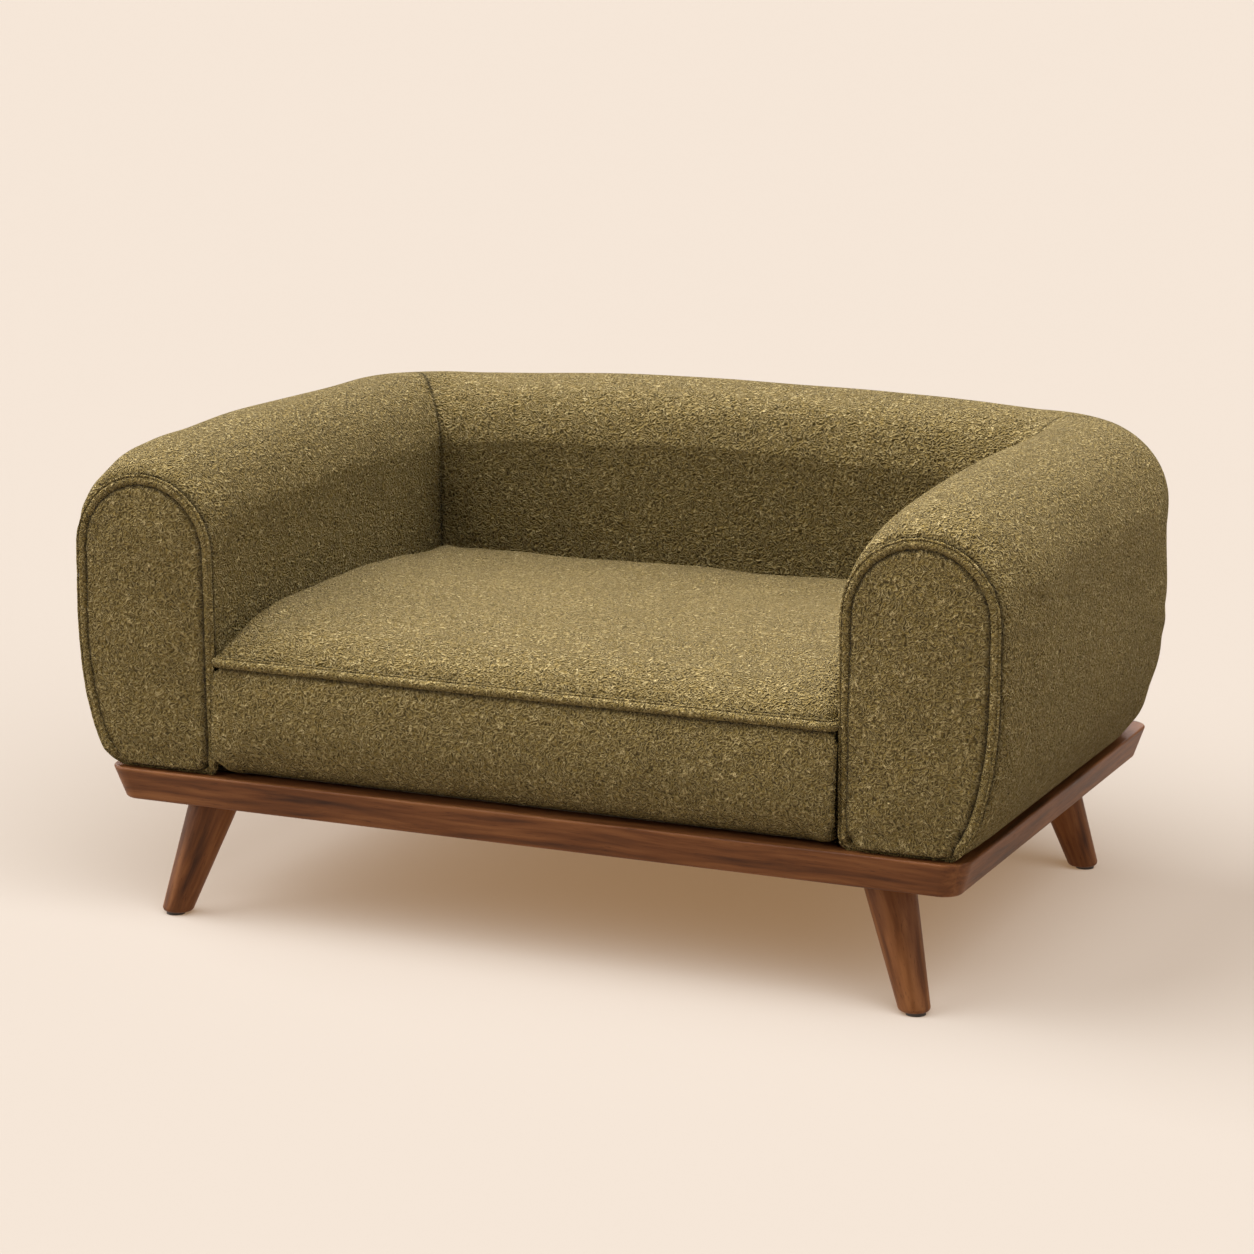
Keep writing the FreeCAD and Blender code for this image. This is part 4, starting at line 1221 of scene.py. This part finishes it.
@dataclass
class Seat(Padded):
    """The loose cushion, crowned on top, boxed at its sides and bulging between the arms."""

    rise: float = 0.0085
    shoulder: float = 0.0150
    bulge: float = 0.0140
    lip: float = 0.0110
    edge_round: float = 0.026
    pull_reach: float = 0.0060
    rear_slack: float = 0.0015

    def __post_init__(self) -> None:
        """Finds the seam, the underside, the arms' pipings and the zip."""
        low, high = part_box("cushion_boxing")
        self.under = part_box("cushion_bottom_panel")[0].z
        self.reach, self.front, self.rear = high.x, low.y, high.y
        self.shape = SeatLine()
        self.line = self.shape.path()
        self.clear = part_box("right_arm_welt")[0].y - 0.0012
        self.side_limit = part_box("right_arm_cover")[0].x - 0.0014
        self.zip_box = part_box("zip_tape")

    def held(self, places: np.ndarray) -> np.ndarray:
        """Held along the piping and where it lies on the deck.

        Args:
            places: points of the cloth, one row each.

        Returns:
            How firmly, from 0 to 1.
        """
        distance, _ = self.line.nearest(places)
        hold = 1.0 - smoothstep(distance, 0.004, 0.016)
        return np.maximum(hold, 1.0 - smoothstep(places[:, 2] - self.under, 0.001, 0.006))

    def seams(self) -> list[Path]:
        """The piping."""
        return [self.line]

    def press(self, places: np.ndarray, normals: np.ndarray) -> np.ndarray:
        """Crowns the top, bulges the front, gathers the cloth at the piping and lets the zip in.

        Args:
            places: points of the cloth, one row each.
            normals: the cloth's normals there.

        Returns:
            The pressed points.
        """
        places = self.shape.squared(places)
        distance, index = self.line.nearest(places)
        marks = self.line.marks[index]
        above = places[:, 2] > self.shape.z
        phase = marks * 2.0 * math.pi / 0.017 + 2.5 * np.sin(marks * 37.0) + ripple(places, 0.2, 9) * 2.0
        gather = np.sin(phase) * np.exp(-distance / 0.016) * np.where(above, 0.0006, 0.0004)
        wave = ripple(places, 0.16, 31) * 0.0010 + ripple(places, 0.055, 32) * 0.0003
        calm = smoothstep(places[:, 2] - self.under, 0.002, 0.02)
        places = places + normals * ((gather + wave) * calm)[:, None]
        full = (1.0 - np.exp(-(distance / 0.016) ** 2)) * np.exp(-distance / 0.11)
        places[:, 2] += above * (self.rise * smoothstep(distance, 0.003, 0.050) + self.shoulder * full)
        ahead = smoothstep(-places[:, 1], -self.front - 0.028, -self.front - 0.002)
        height = np.clip((places[:, 2] - self.under) / (self.shape.z - self.under), 0.0, 1.0)
        round_out = np.sin(np.pi * np.clip(height * 0.94 + 0.06, 0.0, 1.0)) ** 0.6
        aside = np.clip((np.abs(places[:, 0]) - self.reach + self.edge_round) / self.edge_round, 0.0, 1.0)
        round_out *= np.sqrt(1.0 - aside ** 2)
        places[:, 1] -= ahead * (self.shape.ahead + (self.bulge - self.shape.ahead) * round_out * ~above)
        spread = smoothstep(-places[:, 1], -self.clear - 0.0006, -self.clear + 0.0010)
        spread *= smoothstep(np.abs(places[:, 0]), self.reach - 0.030, self.reach - 0.002) * ~above
        places[:, 0] += np.sign(places[:, 0]) * self.lip * spread * smoothstep(height, 0.02, 0.2)
        places = self.line.draw_in(places, self.pull, self.pull_reach)
        behind = places[:, 1] > self.clear
        places[behind, 0] = np.clip(places[behind, 0], -self.side_limit, self.side_limit)
        places[:, 1] = np.minimum(places[:, 1], self.rear + self.rear_slack)
        places[:, 2] = np.maximum(places[:, 2], self.under)
        return self.let_zip_in(places)

    def let_zip_in(self, places: np.ndarray) -> np.ndarray:
        """Sinks the rear boxing behind the zip's tape.

        Args:
            places: points of the cloth, one row each.

        Returns:
            The moved points.
        """
        low, high = self.zip_box
        margin = 0.0015
        behind = ((places[:, 1] > low.y - 0.012) & (np.abs(places[:, 0]) < high.x + margin)
                  & (places[:, 2] > low.z - margin) & (places[:, 2] < high.z + margin))
        places[behind, 1] = np.minimum(places[behind, 1], low.y - 0.0004)
        return places

    def build(self, top: bpy.types.Material, boxing: bpy.types.Material,
              lining: bpy.types.Material) -> None:
        """Makes the cushion with one cloth above its piping, one round its sides and one beneath.

        Args:
            top: cloth of the top panel.
            boxing: cloth of the sides.
            lining: cloth of the underside.
        """
        piece = self.shaped()
        for cloth in (top, boxing, lining):
            piece.data.materials.append(cloth)
        for face in piece.data.polygons:
            low_down = face.center.z < self.under + 0.004 and face.normal.z < -0.7
            face.material_index = 0 if face.center.z > self.shape.z else 2 if low_down else 1
        nodes = ("cushion_top_panel", "cushion_boxing", "cushion_bottom_panel", "cushion_foam")
        self.settle(piece, nodes, "cushion", "cushion_boucle", 0.85)


# --- Sub-assemblies ----------------------------------------------------------------------------
@dataclass
class Upholstery:
    """Arms, back and cushion with their cloth and piping."""

    wide: Boucle = Boucle("boucle_bolster")
    panel: Boucle = Boucle("boucle_panel")
    seat: Boucle = Boucle("boucle_seat", pitch=0.0023, relief=0.0300)
    boxing: Boucle = Boucle("boucle_boxing", pitch=0.0024)
    lining: WovenCloth = WovenCloth("lining_cloth")
    cord: Boucle = Boucle("boucle_piping", pitch=0.0021, relief=0.0160)

    def build(self) -> None:
        """Makes every soft piece."""
        solids = ["back_cover", "back_foam", "back_base", "back_upright"]
        parts = ("arm_cover", "arm_foam", "front_panel", "front_pad", "arm_base", "arm_upright",
                 "arm_front_board")
        for side in Side:
            solids += [f"{side.word}_{part}" for part in parts]
        bolster = Bolster("bolster_skin", tuple(solids))
        bolster.build(self.wide.build(), self.panel.build())
        cord_cloth = self.cord.build()
        for side in Side:
            cord = Cord(f"{side.word}_arm_piping", bolster.lines[side])
            self.pipe(cord, "frame", f"{side.word}_arm_welt", cord_cloth)
        seat = Seat("seat_cushion", ("cushion_top_panel", "cushion_boxing", "cushion_bottom_panel",
                                     "cushion_foam"))
        seat.build(self.seat.build(), self.boxing.build(), self.lining.build())
        self.pipe(Cord("seat_piping", seat.line, upright=True), "cushion", "cushion_welt", cord_cloth)

    @staticmethod
    def pipe(cord: Cord, body: str, node: str, cloth: bpy.types.Material) -> None:
        """Builds one cord and lets it ride in place of its solid.

        Args:
            cord: the cord.
            body: the body that it rides on.
            node: the solid that it stands for.
            cloth: the cloth round it.
        """
        piece = cord.build()
        piece.data.materials.clear()
        piece.data.materials.append(cloth)
        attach(piece, body)
        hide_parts(node)
        LOG.info("%s: %.2f m of piping", piece.name, cord.path.length)


@dataclass
class Structure:
    """Finishes of the wooden platform, the boards inside the bolster, the fixings and the zip."""

    leg_names: tuple[str, ...] = ("front_left", "front_right", "back_left", "back_right")
    leg_top_radius: float = 0.025

    @staticmethod
    def dress(material: bpy.types.Material, *nodes: str) -> None:
        """Puts one material on several nodes.

        Args:
            material: the finish.
            nodes: names of the nodes that get it.
        """
        for node in nodes:
            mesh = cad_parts[node].data
            mesh.materials.clear()
            mesh.materials.append(material)
        LOG.info("%s on %s", material.name, ", ".join(nodes))

    def build(self) -> None:
        """Dresses every node that shows or lies inside."""
        self.dress(Walnut("walnut_front_rail", offset=0.9).build(), "front_rail")
        self.dress(Walnut("walnut_back_rail", offset=2.3).build(), "back_rail")
        quarter = (0.0, 0.0, math.radians(-90.0))
        self.dress(Walnut("walnut_side_rails", quarter, 4.1).build(), "left_rail", "right_rail")
        for i, name in enumerate(self.leg_names):
            leg = Walnut(f"walnut_{name}_leg", self.leg_turn(name), 5.0 + 1.7 * i)
            self.dress(leg.build(), name + "_leg")
            self.dress(Plastic(f"{name}_glide_plastic").build(), name + "_glide")
        sheet = PlainWood("birch_sheet").build()
        self.dress(sheet, "deck_panel", "back_base", "back_upright", "mitre_splines")
        for side in Side:
            self.dress(sheet, *(f"{side.word}_arm_{part}" for part in ("base", "upright", "front_board")))
        sawn = PlainWood("sawn_pine", (150.0, 5.0, 150.0), (0.44, 0.28, 0.13), (0.70, 0.51, 0.28)).build()
        self.dress(sawn, "centre_brace", *(name + "_corner_block" for name in self.leg_names))
        self.dress(Metal("zinc_plate").build(), "deck_screws", "leg_bolts", "insert_nuts",
                   "bolster_bolts", "tee_nuts")
        self.dress(WovenCloth("zip_tape_cloth", 0.0008).build(), "zip_tape")
        self.dress(Plastic("zip_coil_nylon", (0.060, 0.047, 0.022), 0.4).build(), "zip_chain")
        self.dress(Metal("zip_slider_enamel", (0.10, 0.085, 0.045), 0.6).build(), "zip_slider")

    def leg_turn(self, name: str) -> Triple:
        """Angles that turn a leg's axis on to the X axis.

        Args:
            name: which leg, as its node's name begins.

        Returns:
            Euler angles.
        """
        low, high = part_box(name + "_leg")
        foot_low, foot_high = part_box(name + "_glide")
        foot = (foot_low + foot_high) / 2.0
        inward = Vector((-math.copysign(1.0, foot.x), -1.0 if "back" in name else 1.0, 0.0))
        top = Vector((low.x if inward.x < 0 else high.x, low.y if inward.y < 0 else high.y, high.z))
        axis = top - Vector((foot.x, foot.y, 0.0)) - inward * self.leg_top_radius
        turn = axis.normalized().rotation_difference(Vector((1.0, 0.0, 0.0)))
        return tuple(turn.to_euler("XYZ"))


@dataclass
class Studio:
    """Pale paper floor, soft light from above and the camera."""

    paper: Paper = Paper()
    horizon: Colour = (0.913, 0.791, 0.680)
    camera_place: Triple = (1.4064, -3.2739, 1.0289)
    heading: float = 23.647
    dip: float = 11.975
    tilt: float = 0.2356
    lens: float = 102.11

    def build(self) -> None:
        """Makes the whole studio."""
        self.lay_floor()
        self.set_light()
        self.set_camera()

    def lay_floor(self) -> None:
        """A wide sheet of paper that fills the view."""
        bpy.ops.mesh.primitive_plane_add(size=140.0, location=(0.0, 30.0, 0.0))
        floor = bpy.context.object
        floor.name = "studio_floor"
        select_only(floor)
        bpy.ops.object.transform_apply(location=True, rotation=True, scale=True)
        floor.data.materials.append(self.paper.build())

    def set_light(self) -> None:
        """Broad soft lights from above and both sides, set apart for the bed and the paper."""
        world = bpy.data.worlds.new("studio_sky")
        world.use_nodes = True
        background = next(n for n in world.node_tree.nodes if n.type == "BACKGROUND")
        background.inputs["Color"].default_value = (*self.horizon, 1.0)
        for ray in ("diffuse", "glossy", "transmission", "scatter"):
            setattr(world.cycles_visibility, ray, False)
        bpy.context.scene.world = world
        bed, paper = (self.receivers(state) for state in ("EXCLUDE", "INCLUDE"))
        self.add_sun("top", (0.2, -0.35, -1.0), 9.60, 88.0, bed)
        self.add_sun("left", (1.0, 0.3, -0.7), 3.90, 88.0, bed)
        self.add_sun("right", (-1.0, 0.2, -0.5), 1.40, 88.0, bed)
        self.add_sun("paper_left", (0.85, 0.32, -0.8), 5.60, 68.0, paper)
        self.add_sun("paper_right", (-0.5, 0.5, -0.8), 5.58, 68.0, paper)
        scene = bpy.context.scene
        scene.view_settings.view_transform = "Standard"
        scene.view_settings.look = "None"

    @staticmethod
    def receivers(state: str) -> bpy.types.Collection:
        """A set for lights that light only the paper (INCLUDE) or all but the paper (EXCLUDE).

        Args:
            state: INCLUDE or EXCLUDE.

        Returns:
            The set.
        """
        chosen = bpy.data.collections.new(f"light_{state.lower()}")
        chosen.objects.link(bpy.data.objects["studio_floor"])
        chosen.collection_objects[0].light_linking.link_state = state
        return chosen

    @staticmethod
    def add_sun(name: str, direction: Triple, strength: float, spread: float,
                receivers: bpy.types.Collection) -> None:
        """One distant soft light.

        Args:
            name: the light's name.
            direction: the way that it shines.
            strength: its irradiance.
            spread: its apparent size, in degrees.
            receivers: what it lights.
        """
        data = bpy.data.lights.new(name, "SUN")
        data.energy = strength
        data.angle = math.radians(spread)
        light = bpy.data.objects.new(name, data)
        light.rotation_euler = Vector(direction).to_track_quat("-Z", "Y").to_euler()
        light.light_linking.receiver_collection = receivers
        bpy.context.scene.collection.objects.link(light)

    def set_camera(self) -> None:
        """The camera in front of the right arm, looking down a little."""
        data = bpy.data.cameras.new("camera")
        data.sensor_width = 36.0
        data.lens = self.lens
        data.clip_end = 200.0
        camera = bpy.data.objects.new("camera", data)
        camera.location = self.camera_place
        turn = Euler((0.0, 0.0, math.radians(self.heading))).to_matrix()
        turn @= Euler((math.radians(90.0 - self.dip), 0.0, 0.0)).to_matrix()
        turn @= Euler((0.0, 0.0, math.radians(self.tilt))).to_matrix()
        camera.rotation_euler = turn.to_euler()
        bpy.context.scene.collection.objects.link(camera)
        bpy.context.scene.camera = camera


def main() -> None:
    """Builds the studio, the structure and the upholstery."""
    logging.basicConfig(level=logging.INFO, format="%(name)s %(message)s")
    Studio().build()
    Structure().build()
    Upholstery().build()


if __name__ == "__main__":
    main()
